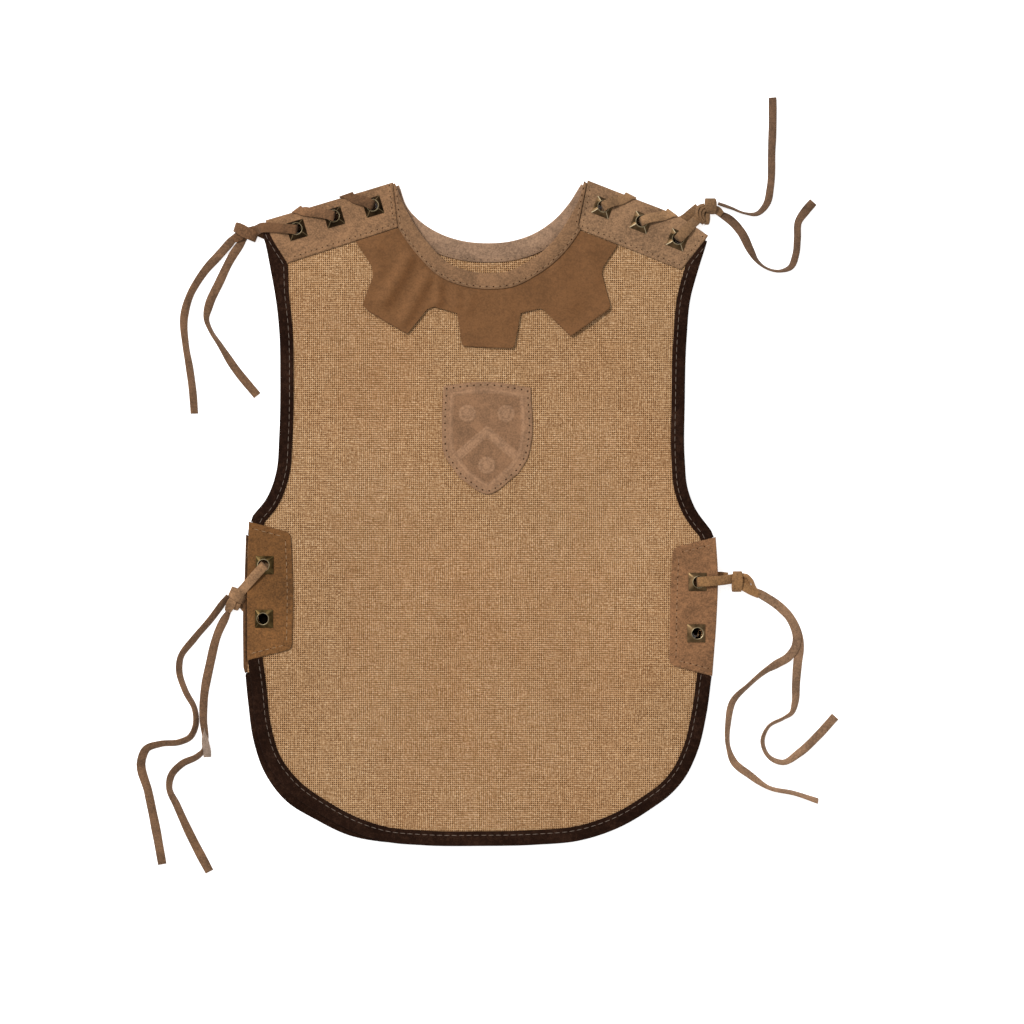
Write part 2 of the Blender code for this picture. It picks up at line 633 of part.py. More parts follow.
def eyelet(name, x, y, turn, front):
    height = (lambda a, b: on_front(a, b) + TRIM_WALL) if front else under_back
    made = finish_object(name, eyelet_mesh(), "antique_brass")
    place = Matrix.Translation(Vector((x, y, height(x, y))) * MM)
    upright = slope_turn(x, y, height, 1.0) if front else Matrix.Rotation(math.pi, 4, "X")
    spin = Matrix.Rotation(math.radians(turn if front else -turn), 4, "Z")
    made.matrix_world = place @ upright @ spin
    return made


def hole_cutter(name, spots, height):
    """Prisms that cut the eyelet holes of one side, upright through the tab and the panel."""
    made = bmesh.new()
    for x, y, turn in spots:
        place = Matrix.Translation(Vector((x, y, height(x, y) + PANEL_WALL / 2.0)) * MM)
        spin = Matrix.Rotation(math.radians(turn + 45.0), 4, "Z")
        bmesh.ops.create_cone(
            made, cap_ends=True, segments=EYELET_SIDES, radius1=HOLE * MM, radius2=HOLE * MM,
            depth=9.0 * MM, matrix=place @ spin,
        )
    mesh = bpy.data.meshes.new(name)
    made.to_mesh(mesh)
    made.free()
    cutter = bpy.data.objects.new(name, mesh)
    cutter.hide_render = True
    cutter.display_type = "WIRE"
    cutters.objects.link(cutter)
    return cutter


# Thongs

def thong(name, route, per_span):
    """A flat thong along rows of a place and the direction its face looks in."""
    line = smooth_line(route, per_span, place_columns=3)
    places, faces = line[:, :3], line[:, 3:]
    rings = []
    for place, ahead, face in zip(places, np.gradient(places, axis=0), faces):
        side = np.cross(ahead, face)
        side /= np.linalg.norm(side)
        up = np.cross(side, ahead)
        up /= np.linalg.norm(up)
        wide, thick = side * THONG_WIDTH / 2.0, up * THONG_WALL / 2.0
        rings.append([place + wide + thick, place - wide + thick, place - wide - thick, place + wide - thick])
    return finish_object(name, loft(rings, closed=False), "thong_suede")


def tail_route(points):
    """Rows of a tail on the surface: the more it is rolled, the higher its middle lies."""
    plan = np.array([(point.x, point.y) for point in points])
    ahead = np.gradient(plan, axis=0)
    rows = []
    for point, (along_x, along_y) in zip(points, ahead):
        roll = math.radians(point.roll)
        length = math.hypot(along_x, along_y)
        height = 0.2 + THONG_WALL / 2.0 * math.cos(roll) + THONG_WIDTH / 2.0 * math.sin(roll) + point.lift
        lean = math.sin(roll) / length
        rows.append((point.x, point.y, height, -along_y * lean, along_x * lean, math.cos(roll)))
    return rows


UNDER = THONG_CLEAR + THONG_WALL / 2.0
OVER_KNOT = KNOT_STAND + KNOT_HEIGHT + THONG_CLEAR + THONG_WALL / 2.0 + 0.1
UP = (0.0, 0.0, 1.0)
DOWN = (0.0, 0.0, -1.0)


def toward(start, end):
    step = np.array(end, float) - np.array(start, float)
    return step / np.linalg.norm(step)


def row(place, height, face):
    return (place[0], place[1], height, *face)


def flat(direction, sign=1.0):
    return (direction[0] * sign, direction[1] * sign, 0.0)


def cap_top(x, y):
    return on_front(x, y) + TRIM_WALL + GAP + EYELET_HEIGHT


def over_tab(x, y):
    """The height of a thong's middle where it lies on a front tab."""
    return on_front(x, y) + TRIM_WALL + THONG_CLEAR + THONG_WALL / 2.0


def into_back_hole(hole, arrive):
    """Rows under the back tab and up into its eyelet."""
    hole = np.array(hole, float)
    return [
        row(hole - arrive * 9.0, UNDER, DOWN),
        row(hole - arrive * 3.4, UNDER, DOWN),
        row(hole - arrive * 1.1, UNDER + 0.3, (*(arrive * 0.5), -0.86)),
        row(hole - arrive * 0.1, UNDER + 1.9, flat(arrive)),
        row(hole, UNDER + 4.2, flat(arrive)),
    ]


def out_of_front_hole(hole, leave):
    """Rows up through the front eyelet and over its rim."""
    hole = np.array(hole, float)
    crest = cap_top(*hole) + THONG_CLEAR + THONG_WALL / 2.0
    return [
        row(hole, crest - 4.4, flat(leave, -1.0)),
        row(hole + leave * 0.1, crest - 1.7, flat(leave, -1.0)),
        row(hole + leave * 1.2, crest + 0.1, (*(leave * -0.5), 0.86)),
        row(hole + leave * 3.6, crest + 0.35, UP),
        row(hole + leave * 8.0, crest + 0.1, UP),
    ]


def over_edge(place, arrive, leave, out, crossing):
    """Rows down over a laced edge and back beneath it, above the thong's own other end where they cross."""
    place = np.array(place, float)
    high = over_tab(*place)
    low, onwards = (UNDER + THONG_WALL + THONG_CLEAR + 0.1, 9.0) if crossing else (UNDER, 6.0)
    return [
        row(place - arrive * 5.0, high + 1.2, UP),
        row(place + out * 0.9, high + 0.2, (*(out * 0.5), 0.86)),
        row(place + out * 2.1, (high + low) / 2.0, flat(out)),
        row(place + out * 1.0, low + (0.3 if crossing else 0.6), (*(out * 0.5), -0.86)),
        row(place + leave * onwards, low, DOWN),
    ]


def laced_shoulder(tab, wraps, out, exit_rows, entry_rows, crossed_wrap=None):
    """A thong from its knot under the back to the inmost eyelet and spiralling back to the knot."""
    rows = list(entry_rows)
    arrive = toward(entry_rows[-1][:2], tab.eyelets[0])
    for k, hole in enumerate(tab.eyelets):
        rows += into_back_hole(hole, arrive)
        if k < len(wraps):
            leave = toward(hole, wraps[k])
            arrive = toward(wraps[k], tab.eyelets[k + 1])
            rows += out_of_front_hole(hole, leave)
            rows += over_edge(wraps[k], leave, arrive, np.array(out), crossing=k == crossed_wrap)
        else:
            rows += out_of_front_hole(hole, toward(hole, exit_rows[0][:2]))
    return rows + list(exit_rows)


# Build

tabs = {tab.place: tab for tab in TABS}

front_panel = panel("front_panel", front_edges, front_under)
back_panel = panel("back_panel", back_edges, back_under)

front_tab_lines = [net_outline(tab_nets[tab.place]) for tab in TABS]
back_tab_lines = [net_outline(tab_nets[tab.place] + np.array(tab.back_shift)) for tab in TABS]
front_side = (front_under, front_over, front_tab_lines)
back_side = (back_under, back_over, back_tab_lines)


def tab_edge(place, name, shifted):
    """The straight stretch of a side tab's edge from its laced corner inwards."""
    tab = tabs[place]
    edge = np.array(getattr(tab, name)) + (np.array(tab.back_shift) if shifted else 0.0)
    return edge[:2] if place == "side_left" else edge[:-3:-1]


def after_first_step(line):
    """An armhole's line without the stretch that the shoulder tab covers."""
    return np.vstack([line[0] * (1 - ARMHOLE_START) + line[1] * ARMHOLE_START, line[1:]])


def binding_path(path, before=None, after=None):
    """A binding's path and directions into the cloth, its ends carried on along a side to a tab's edge."""
    directions_at_ends = {}
    if after:
        path, directions_at_ends[-1] = up_to_tab(path, *after)
    if before:
        path, directions_at_ends[0] = up_to_tab(path[::-1], *before)
        path = path[::-1]
    directions = inward(path)
    for end, direction in directions_at_ends.items():
        directions[end] = direction
    return path, directions


def bindings(name_start, edges, side):
    """The two armhole bindings and the hem's, each ending beside the tabs."""
    shifted = name_start == "back"
    left_top, left_bottom = [tab_edge("side_left", name, shifted) for name in ("top", "bottom")]
    right_top, right_bottom = [tab_edge("side_right", name, shifted) for name in ("top", "bottom")]
    left_armhole, right_armhole = after_first_step(edges.left_armhole), after_first_step(edges.right_armhole)
    up_left, up_right = edges.left_side[::-1], edges.right_side[::-1]
    hem = joined(edges.left_hem, edges.bottom, edges.right_hem[::-1])
    for name, width, (path, directions) in (
        ("left_armhole", ARMHOLE_BINDING, binding_path(left_armhole, after=(edges.left_side, left_top))),
        (
            "right_armhole", ARMHOLE_BINDING,
            binding_path(right_armhole[::-1], before=(edges.right_side, right_top)),
        ),
        ("hem", HEM_BINDING, binding_path(hem, before=(up_left, left_bottom), after=(up_right, right_bottom))),
    ):
        folded_band(f"{name_start}_binding_{name}", path, directions, width, side, GAP, GAP, "binding")


bindings("front", front_edges, front_side)
bindings("back", back_edges, back_side)

UNDER_NECK = 0.7
OVER_COLLAR = GAP + COLLAR_LIFT + TRIM_WALL + GAP
front_neck, back_neck = front_edges.neck[::-1], back_edges.neck[::-1]
folded_band(
    "front_neckband", front_neck, inward(front_neck), FRONT_NECKBAND, front_side, UNDER_NECK, OVER_COLLAR,
    "light_suede",
)
folded_band(
    "back_neckband", back_neck, inward(back_neck), BACK_NECKBAND, back_side, GAP, GAP, "light_suede"
)

tucked = (front_neck + inward(front_neck) * COLLAR_TUCK)[-4:2:-1]
neck_line = np.vstack([COLLAR_ENDS[0], tucked, COLLAR_ENDS[1]])
neck_share = np.append(0.0, np.cumsum(np.linalg.norm(np.diff(neck_line, axis=0), axis=1)))
neck_share /= neck_share[-1]
collar_outer = np.array([(dag.x, dag.y) for dag in COLLAR_EDGE])
collar_inner = np.column_stack(
    [np.interp([dag.round_neck for dag in COLLAR_EDGE], neck_share, column) for column in neck_line.T]
)
down_collar = np.linspace(0.0, 1.0, COLLAR_ROWS + 1)[:, None, None]
collar_net = collar_inner[None] * (1.0 - down_collar) + collar_outer[None] * down_collar
cloth("dagged_collar", collar_net, under_collar, TRIM_WALL, "brown_suede")

shield_edges = [
    even_line(edge, SHIELD_STEPS) for edge in (SHIELD_TOP, SHIELD_BOTTOM, SHIELD_LEFT, SHIELD_RIGHT)
]
cloth("shield_patch", between_edges(*shield_edges), on_front, TRIM_WALL, "light_suede")

front_spots = [(x, y, tab.turn) for tab in TABS for x, y in tab.eyelets]
back_spots = [
    (x + tab.back_shift[0], y + tab.back_shift[1], tab.turn) for tab in TABS for x, y in tab.eyelets
]
front_cutter = hole_cutter("front_holes", front_spots, front_under)
back_cutter = hole_cutter("back_holes", back_spots, back_under)
punch(front_panel, front_cutter)
punch(back_panel, back_cutter)

for tab in TABS:
    net = tab_nets[tab.place]
    punch(cloth("front_tab_" + tab.place, net, on_front, TRIM_WALL, "light_suede"), front_cutter)
    back_net = net + np.array(tab.back_shift)
    punch(cloth("back_tab_" + tab.place, back_net, under_back, TRIM_WALL, "light_suede"), back_cutter)
    for k, (x, y) in enumerate(tab.eyelets, 1):
        eyelet(f"front_eyelet_{tab.place}_{k}", x, y, tab.turn, front=True)
        back_x, back_y = x + tab.back_shift[0], y + tab.back_shift[1]
        eyelet(f"back_eyelet_{tab.place}_{k}", back_x, back_y, tab.turn, front=False)

thong(
    "lace_shoulder_left",
    laced_shoulder(
        tabs["shoulder_left"],
        wraps=[(-106.9, 254.5), (-146.5, 242.7)],
        out=(-0.285, 0.959),
        entry_rows=[
            row((-177.4, 226.2), 1.6, DOWN), row((-168.0, 222.6), UNDER, DOWN),
            row((-152.0, 215.0), UNDER, DOWN), row((-122.0, 221.6), UNDER, DOWN),
            row((-98.0, 229.6), UNDER, DOWN),
        ],
        exit_rows=[
            row((-163.0, 228.2), over_tab(-163.0, 228.2) + 0.6, UP),
            row((-173.2, 228.6), over_tab(-171.0, 228.6) + 0.3, UP),
            row((-182.6, 227.8), OVER_KNOT, UP),
        ],
    ),
    STEPS_PER_LACE_POINT,
)
thong(
    "lace_shoulder_right",
    laced_shoulder(
        tabs["shoulder_right"],
        wraps=[(119.9, 253.9), (152.9, 240.2)],
        out=(0.36, 0.933),
        entry_rows=[
            row((169.8, 240.8), 1.6, DOWN), row((165.6, 237.4), 1.0, DOWN),
            row((160.8, 235.2), UNDER, DOWN), row((154.0, 234.6), UNDER, DOWN),
            row((147.4, 231.0), UNDER, DOWN), row((141.6, 222.4), UNDER, DOWN),
            row((134.0, 216.6), UNDER, DOWN), row((120.0, 221.0), UNDER, DOWN),
            row((108.0, 229.8), UNDER, DOWN),
        ],
        crossed_wrap=1,
        exit_rows=[
            row((170.6, 233.0), over_tab(168.7, 230.9) + 0.5, UP),
            row((177.4, 240.0), OVER_KNOT, UP),
        ],
    ),
    STEPS_PER_LACE_POINT,
)


def laced_side(name, tab, from_knot, last_on_tab, knot_over):
    """A thong from its knot through the lower back eyelet and the upper front one, back to the knot."""
    low = np.array(tab.eyelets[1]) + np.array(tab.back_shift)
    high = np.array(tab.eyelets[0])
    arrive = toward(from_knot[-1], low)
    climb = toward(low, high)
    inside = back_over(*low) + GAP + FLANGE_WALL + THONG_CLEAR + THONG_WALL / 2.0
    inside_high = back_over(*high) + GAP + FLANGE_WALL + THONG_CLEAR + THONG_WALL / 2.0
    rows = [
        *[row(place, UNDER, DOWN) for place in from_knot],
        *into_back_hole(low, arrive),
        row(low + climb * 1.4, inside + 0.05, (*(climb * -0.5), 0.86)),
        row(low + climb * 7.0, inside + 0.15, UP),
        row(high - climb * 7.0, inside_high + 0.25, UP),
        row(high - climb * 1.4, inside_high + 0.4, (*(climb * -0.5), 0.86)),
        *out_of_front_hole(high, toward(high, knot_over)),
        row(last_on_tab, over_tab(*last_on_tab) + 0.9, UP),
        row(knot_over, OVER_KNOT, UP),
    ]
    return thong(name, rows, STEPS_PER_LACE_POINT)


laced_side("lace_side_left", tabs["side_left"], [(-190.4, -75.2)], (-187.4, -57.6), (-195.0, -66.2))
laced_side(
    "lace_side_right", tabs["side_right"], [(198.4, -50.8), (188.8, -50.8), (182.6, -58.0)],
    (190.8, -53.2), (202.0, -51.9),
)

for place, knot in KNOTS.items():
    made = bmesh.new()
    bmesh.ops.create_cube(made, size=1.0)
    bmesh.ops.scale(made, vec=Vector((knot.length, knot.width, KNOT_HEIGHT)) * MM, verts=made.verts)
    bmesh.ops.bevel(
        made, geom=made.edges, offset=KNOT_ROUND * MM, segments=2, profile=0.5, affect="EDGES", material=-1
    )
    piece = finish_object("knot_" + place, made, "thong_suede")
    stand = Vector((knot.x, knot.y, KNOT_HEIGHT / 2.0 + KNOT_STAND)) * MM
    piece.matrix_world = Matrix.Translation(stand) @ Matrix.Rotation(math.radians(knot.turn), 4, "Z")

for place, points in TAILS.items():
    thong("tail_" + place, tail_route(points), STEPS_PER_TAIL_POINT)
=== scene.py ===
# Knight tabard laid flat: hessian front and back, dark binding, suede collar, shield and laced tabs.
# Plan tables are in millimetres, with +Y towards the neck; meshes are in metres.
import math
import bmesh
import bpy
import numpy as np
from mathutils import Matrix, Vector
from mathutils.bvhtree import BVHTree


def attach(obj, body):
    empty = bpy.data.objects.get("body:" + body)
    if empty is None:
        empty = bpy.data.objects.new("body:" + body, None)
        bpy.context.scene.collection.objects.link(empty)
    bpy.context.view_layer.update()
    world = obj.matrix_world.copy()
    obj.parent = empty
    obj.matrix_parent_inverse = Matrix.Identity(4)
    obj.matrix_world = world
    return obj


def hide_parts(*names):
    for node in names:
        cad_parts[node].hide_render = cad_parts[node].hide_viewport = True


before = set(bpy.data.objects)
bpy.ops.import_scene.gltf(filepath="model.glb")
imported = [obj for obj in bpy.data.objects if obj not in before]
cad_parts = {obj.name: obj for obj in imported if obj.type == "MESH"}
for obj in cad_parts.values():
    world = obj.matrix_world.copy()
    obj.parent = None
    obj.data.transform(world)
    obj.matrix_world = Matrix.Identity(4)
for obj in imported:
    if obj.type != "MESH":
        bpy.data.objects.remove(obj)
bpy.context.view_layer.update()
mm = 0.001
finePoints = 24  # points of a smooth line from one point of its table to the next


def lineThrough(points, perSpan, placeColumns=2):
    # a smooth line through the points; columns past the second never pass beyond their points
    knots = np.array(points, float)
    steps = np.linalg.norm(np.diff(knots[:, :placeColumns], axis=0), axis=1)
    slopes = np.diff(knots, axis=0) / steps[:, None]
    before, after = steps[:-1, None], steps[1:, None]
    inner = (slopes[1:] * before + slopes[:-1] * after) / (before + after)
    tangents = np.vstack([slopes[:1], inner, slopes[-1:]])
    least = np.minimum(abs(slopes[1:]), abs(slopes[:-1]))
    held = np.sign(slopes[1:]) * np.minimum(abs(tangents[1:-1]), 2 * least)
    held = np.where(slopes[1:] * slopes[:-1] > 0, held, 0)
    tangents[1:-1, 2:] = held[:, 2:]
    line = []
    for i, step in enumerate(steps):
        for t in np.arange(perSpan) / perSpan:
            line.append(
                knots[i] * (1 + 2 * t) * (1 - t) ** 2 + knots[i + 1] * t * t * (3 - 2 * t)
                + tangents[i] * step * t * (1 - t) ** 2 + tangents[i + 1] * step * t * t * (t - 1)
            )
    return np.array(line + [knots[-1]])


def runAlong(line):
    return np.append(0, np.cumsum(np.linalg.norm(np.diff(line, axis=0), axis=1)))


def evenly(line, steps):
    lengths = runAlong(line)
    at = np.linspace(0, lengths[-1], steps + 1)
    return np.column_stack([np.interp(at, lengths, column) for column in line.T])


def edgeLine(points, steps):
    return evenly(lineThrough(points, finePoints), steps)


def joined(*lines):
    return np.vstack([lines[0]] + [line[1:] for line in lines[1:]])


def netBetween(top, bottom, left, right):
    # fills in a net of points from its four edges, row by row from the top
    v = np.linspace(0, 1, len(left))[:, None, None]
    u = np.linspace(0, 1, len(top))[None, :, None]
    across = (1 - v) * top[None] + v * bottom[None]
    down = (1 - u) * left[:, None] + u * right[:, None]
    corners = (1 - v) * ((1 - u) * top[0] + u * top[-1]) + v * ((1 - u) * bottom[0] + u * bottom[-1])
    return across + down - corners


def ease(share):
    share = np.clip(share, 0, 1)
    return share * share * (3 - 2 * share)


def distanceTo(plan, line):
    best = np.full(plan.shape[:-1], 1e9)
    for start, end in zip(line[:-1], line[1:]):
        along = end - start
        share = np.clip(((plan - start) @ along) / (along @ along), 0, 1)
        best = np.minimum(best, np.linalg.norm(plan - start - share[..., None] * along, axis=-1))
    return best


def inward(path):
    # the way into the cloth from an edge walked with the cloth on its left
    along = np.gradient(path, axis=0)
    across = np.column_stack([-along[:, 1], along[:, 0]])
    return across / np.linalg.norm(across, axis=1)[:, None]


def unit(step):
    step = np.array(step, float)
    return step / np.linalg.norm(step)


panelCut = {
    "front": {
        "leftArmhole": [
            (-170.4, 232.6), (-173, 226), (-170.6, 216.8), (-166.3, 195.2), (-162.2, 171.2),
            (-159.8, 147), (-159, 110), (-160, 59), (-161.8, 35), (-164.6, 24),
            (-170.2, 11.2), (-180.6, -1.8)],
        "leftSide": [(-180.6, -1.8), (-184.2, -14), (-185.2, -60), (-184.2, -119)],
        "leftHem": [(-184.2, -119), (-181.8, -137), (-178.4, -169.5), (-170, -198), (-151.6, -222)],
        "bottom": [
            (-151.6, -222), (-128, -239), (-101.6, -253), (-78, -260.6), (-45, -263.9),
            (0, -264.4), (45, -263.4), (78.6, -260.2), (112, -249), (138, -233.4), (149, -225.4)],
        "rightHem": [(183.2, -130.8), (179.3, -160.5), (172.1, -190.5), (161, -212.5), (149, -225.4)],
        "rightSide": [(183, -13.6), (186.9, -24), (188.2, -50), (186.8, -88), (183.2, -130.8)],
        "rightArmhole": [
            (180.6, 221.4), (179.4, 217), (172.6, 195.2), (166.6, 173), (163.6, 140),
            (162.2, 90), (162.2, 43), (164.6, 19.5), (170.4, 4), (183, -13.6)],
        "leftShoulder": [(-170.4, 232.6), (-69.4, 263.4)],
        "neck": [
            (-69.4, 263.4), (-61.8, 245), (-52.2, 228.2), (-39.8, 212), (-27.8, 200.4), (-10.8, 193.4),
            (7.4, 191.2), (23.5, 193), (37.6, 200), (49, 207.6), (58.2, 216.2), (71.4, 234.8),
            (79.4, 249.8), (83.8, 264.6)],
        "rightShoulder": [(83.8, 264.6), (124, 250.2), (160.4, 235), (180.6, 221.4)],
    },
    "back": {
        "leftArmhole": [
            (-169.4, 232), (-171.6, 226), (-169.2, 216.6), (-165, 195.2), (-160.8, 171.2),
            (-158.3, 147), (-157.5, 110), (-158.6, 59), (-160.6, 35), (-163.6, 24),
            (-170.6, 8), (-184.6, -12.8)],
        "leftSide": [(-184.6, -12.8), (-185.4, -24), (-185.8, -70), (-185.6, -112), (-187, -129.4)],
        "leftHem": [(-187, -129.4), (-185.1, -150), (-180.4, -183), (-172.4, -206), (-154.6, -229.6)],
        "bottom": [
            (-154.6, -229.6), (-132, -243.6), (-104.4, -256.6), (-80, -261.4), (-45, -262.6),
            (0, -262.8), (45, -261.6), (77.6, -257.8), (110, -246.6), (135, -231.4), (145.4, -223.4)],
        "rightHem": [(180.2, -131.4), (176, -160), (169, -189.5), (157.6, -211), (145.4, -223.4)],
        "rightSide": [(180.4, -14), (184.2, -24), (185.4, -50), (184, -88), (180.2, -131.4)],
        "rightArmhole": [
            (179.4, 220.8), (177.8, 216), (171, 195.2), (165, 173), (162, 140),
            (160.6, 90), (160.6, 43), (162.8, 19.5), (168.4, 4), (180.4, -14)],
        "leftShoulder": [(-169.4, 232), (-66.4, 262.8)],
        "neck": [
            (-66.4, 262.8), (-59.6, 244.6), (-48.4, 232.9), (-31.3, 222.7), (-14.3, 217.6), (5.2, 215.9),
            (25.6, 217.6), (42.9, 223.3), (60, 234.7), (71.6, 247.6), (81.6, 263.4)],
        "rightShoulder": [(81.6, 263.4), (124, 249.4), (160.4, 234.2), (179.4, 220.8)],
    },
    "steps": {
        "leftArmhole": 12, "leftSide": 5, "leftHem": 6, "bottom": 24, "rightHem": 6, "rightSide": 5,
        "rightArmhole": 12, "leftShoulder": 5, "neck": 14, "rightShoulder": 5},
    "finer": {"front": 8, "back": 6},
}

tabCut = {
    "shoulder_left": {
        "top": [(-171.6, 234.4), (-69.8, 264.8)], "bottom": [(-154, 200.4), (-65.8, 229)],
        "left": [(-171.6, 234.4), (-168.6, 225), (-154, 200.4)], "right": [(-69.8, 264.8), (-65.8, 229)],
        "grid": (7, 3), "turn": 16.5, "backShift": (0, 0), "lacedEdge": "top",
        "eyelets": [(-85.7, 245.4), (-116.9, 236.8), (-146.7, 226.8)], "seams": ["bottom", "right"]},
    "shoulder_right": {
        "top": [(85.6, 266.4), (124.3, 251.4), (160.8, 236.1), (182, 222.2)],
        "bottom": [(77.8, 227.8), (160.2, 195)],
        "left": [(85.6, 266.4), (77.8, 227.8)], "right": [(182, 222.2), (160.2, 195)],
        "grid": (7, 3), "turn": -21.5, "backShift": (0, 0), "lacedEdge": "top",
        "eyelets": [(97.8, 244.7), (128.3, 232.8), (157.4, 218.9)], "seams": ["bottom", "left", "right"]},
    "side_left": {
        "top": [(-184.9, -6), (-158.6, -13), (-155.2, -13.9), (-152.4, -15.8)],
        "bottom": [(-186.1, -116.8), (-157.4, -109.6), (-154, -108.7), (-151.2, -107)],
        "left": [(-184.9, -6), (-186.4, -60.8), (-186.1, -116.8)],
        "right": [(-152.4, -15.8), (-151.2, -19), (-151, -23), (-149.6, -60), (-150.2, -100.4),
                  (-150.3, -104), (-151.2, -107)],
        "grid": (3, 7), "turn": 0, "backShift": (-2.4, -10.6), "lacedEdge": "left",
        "eyelets": [(-172.2, -40.8), (-172.7, -83.6)], "seams": ["top", "right", "bottom"]},
    "side_right": {
        "top": [(154.6, -28.4), (158.4, -25.6), (161.8, -24.8), (187.8, -18.4)],
        "bottom": [(151.6, -119), (155.2, -121.6), (158.6, -122.5), (185.1, -129.4)],
        "left": [(154.6, -28.4), (153.2, -32), (153, -36), (151.6, -70), (150.9, -112),
                 (150.8, -115.6), (151.6, -119)],
        "right": [(187.8, -18.4), (189.6, -46), (188.5, -84), (185.1, -129.4)],
        "grid": (3, 7), "turn": 0, "backShift": (-2.5, 0), "lacedEdge": "right",
        "eyelets": [(173.2, -54.2), (172.2, -95.2)], "seams": ["top", "left", "bottom"]},
}

layers = {
    "gap": 0.35, "panelWall": 1.2, "trimWall": 1, "eyeletHeight": 1.6, "thongWall": 1.1,
    "thongClear": 0.3, "centreSpread": 1.4, "rimSpread": 3.05, "tabSpread": 4.8,
    "ripple": 0.5, "rippleAcross": 31, "rippleDown": 70, "rippleBend": 1.3,
    "rimFlat": 18, "rimFade": 80, "tabFlat": 26, "tabFade": 72, "dip": 1.8, "dipReach": 36, "dipEnds": 25,
    "collarLift": 0.2, "besideTab": 0.25, "leastBand": 0.45, "holeRadius": 5.2,
}
gap, panelWall, trimWall = layers["gap"], layers["panelWall"], layers["trimWall"]
thongHalf = layers["thongWall"] / 2
rimLift = trimWall + gap
tabLift = 2 * layers["thongClear"] + layers["thongWall"] + layers["eyeletHeight"] + 2 * gap + trimWall


def cutEdges(side, finer=1):
    cut, steps = panelCut[side], panelCut["steps"]
    lines = {name: lineThrough(line, finePoints) for name, line in cut.items()}
    hem = lineThrough(cut["leftHem"] + cut["bottom"][1:] + cut["rightHem"][-2::-1], finePoints)
    first = finePoints * (len(cut["leftHem"]) - 1)
    last = first + finePoints * (len(cut["bottom"]) - 1)
    lines.update(leftHem=hem[:first + 1], bottom=hem[first:last + 1], rightHem=hem[last:][::-1])
    return {name: evenly(line, steps[name] * finer) for name, line in lines.items()}


def panelSides(edges):
    top = joined(edges["leftShoulder"], edges["neck"], edges["rightShoulder"])
    left = joined(edges["leftArmhole"], edges["leftSide"], edges["leftHem"])
    right = joined(edges["rightArmhole"], edges["rightSide"], edges["rightHem"])
    return top, edges["bottom"], left, right


def tabNet(tab, finer=1):
    columns, rows = tab["grid"]
    return netBetween(
        edgeLine(tab["top"], columns * finer), edgeLine(tab["bottom"], columns * finer),
        edgeLine(tab["left"], rows * finer), edgeLine(tab["right"], rows * finer))


def netOutline(net):
    return joined(net[0], net[:, -1], net[-1, ::-1], net[::-1, 0])


def lacedLine(tab):
    fine = edgeLine(tab[tab["lacedEdge"]], 20)
    fromEnds = np.minimum(np.linalg.norm(fine - fine[0], axis=1), np.linalg.norm(fine - fine[-1], axis=1))
    return fine[fromEnds > layers["dipEnds"]]


frontEdges, backEdges = cutEdges("front"), cutEdges("back")
outlines = []
for edges in (frontEdges, backEdges):
    top, bottom, left, right = panelSides(edges)
    outlines.append(joined(top, right, bottom[::-1], left[::-1]))
eyeletLines = [np.array(tab["eyelets"]) for tab in tabCut.values()]
lacedLines = [lacedLine(tab) for tab in tabCut.values()]


def nearEdge(plan):
    away = np.minimum(distanceTo(plan, outlines[0]), distanceTo(plan, outlines[1]))
    return 1 - ease((away - layers["rimFlat"]) / layers["rimFade"])


def nearTab(plan):
    away = np.minimum.reduce([distanceTo(plan, line) for line in eyeletLines])
    return 1 - ease((away - layers["tabFlat"]) / layers["tabFade"])


def dipAt(plan):
    away = np.minimum.reduce([distanceTo(plan, line) for line in lacedLines])
    return layers["dip"] * np.clip(1 - away / layers["dipReach"], 0, None) ** 2


def backUnder(place):
    plan = np.asarray(place, float)
    rim = rimLift * nearEdge(plan)
    return rim + (tabLift - rim) * nearTab(plan)


def backOver(place):
    return backUnder(place) + panelWall


# soft folds of the front: where each runs, how wide it is and how far it rises or sinks
frontFolds = [
    {"run": [(-128, 176), (-116, 92), (-122, 20)], "wide": 13, "rise": 0.55},
    {"run": [(118, 168), (108, 84), (116, 8)], "wide": 14, "rise": 0.5},
    {"run": [(-142, -30), (-96, -52), (-58, -58)], "wide": 10, "rise": 0.6},
    {"run": [(-140, -86), (-100, -84), (-64, -92)], "wide": 11, "rise": -0.4},
    {"run": [(142, -44), (100, -58), (62, -62)], "wide": 10, "rise": 0.55},
    {"run": [(140, -100), (98, -98), (66, -106)], "wide": 11, "rise": -0.4},
    {"run": [(-70, -150), (-52, -196), (-40, -240)], "wide": 12, "rise": 0.5},
    {"run": [(64, -146), (72, -192), (62, -238)], "wide": 12, "rise": 0.5},
    {"run": [(-6, -60), (2, -128), (-4, -190)], "wide": 16, "rise": 0.4},
    {"run": [(-120, 196), (-98, 178)], "wide": 9, "rise": -0.4},
    {"run": [(128, 190), (120, 170)], "wide": 9, "rise": -0.4},
]


def folds(plan, table):
    total = np.zeros(plan.shape[:-1])
    for fold in table:
        away = distanceTo(plan, lineThrough(fold["run"], 6))
        total += fold["rise"] * np.exp(-((away / fold["wide"]) ** 2))
    return total


def frontUnder(place):
    plan = np.asarray(place, float)
    rim = nearEdge(plan)
    x, y = plan[..., 0], plan[..., 1]
    bend = layers["rippleBend"] * np.sin(y / layers["rippleDown"])
    ripple = layers["ripple"] * np.sin(x / layers["rippleAcross"] + bend) * (1 - rim)
    spread = layers["centreSpread"] + ripple + (layers["rimSpread"] - layers["centreSpread"]) * rim
    spread = spread + (layers["tabSpread"] - spread) * nearTab(plan)
    soft = np.clip(folds(plan, frontFolds) * (1 - ease((rim - 0.5) * 2)), -0.6, 1)
    return backOver(plan) + spread - dipAt(plan) + soft


def frontOver(place):
    return frontUnder(place) + panelWall


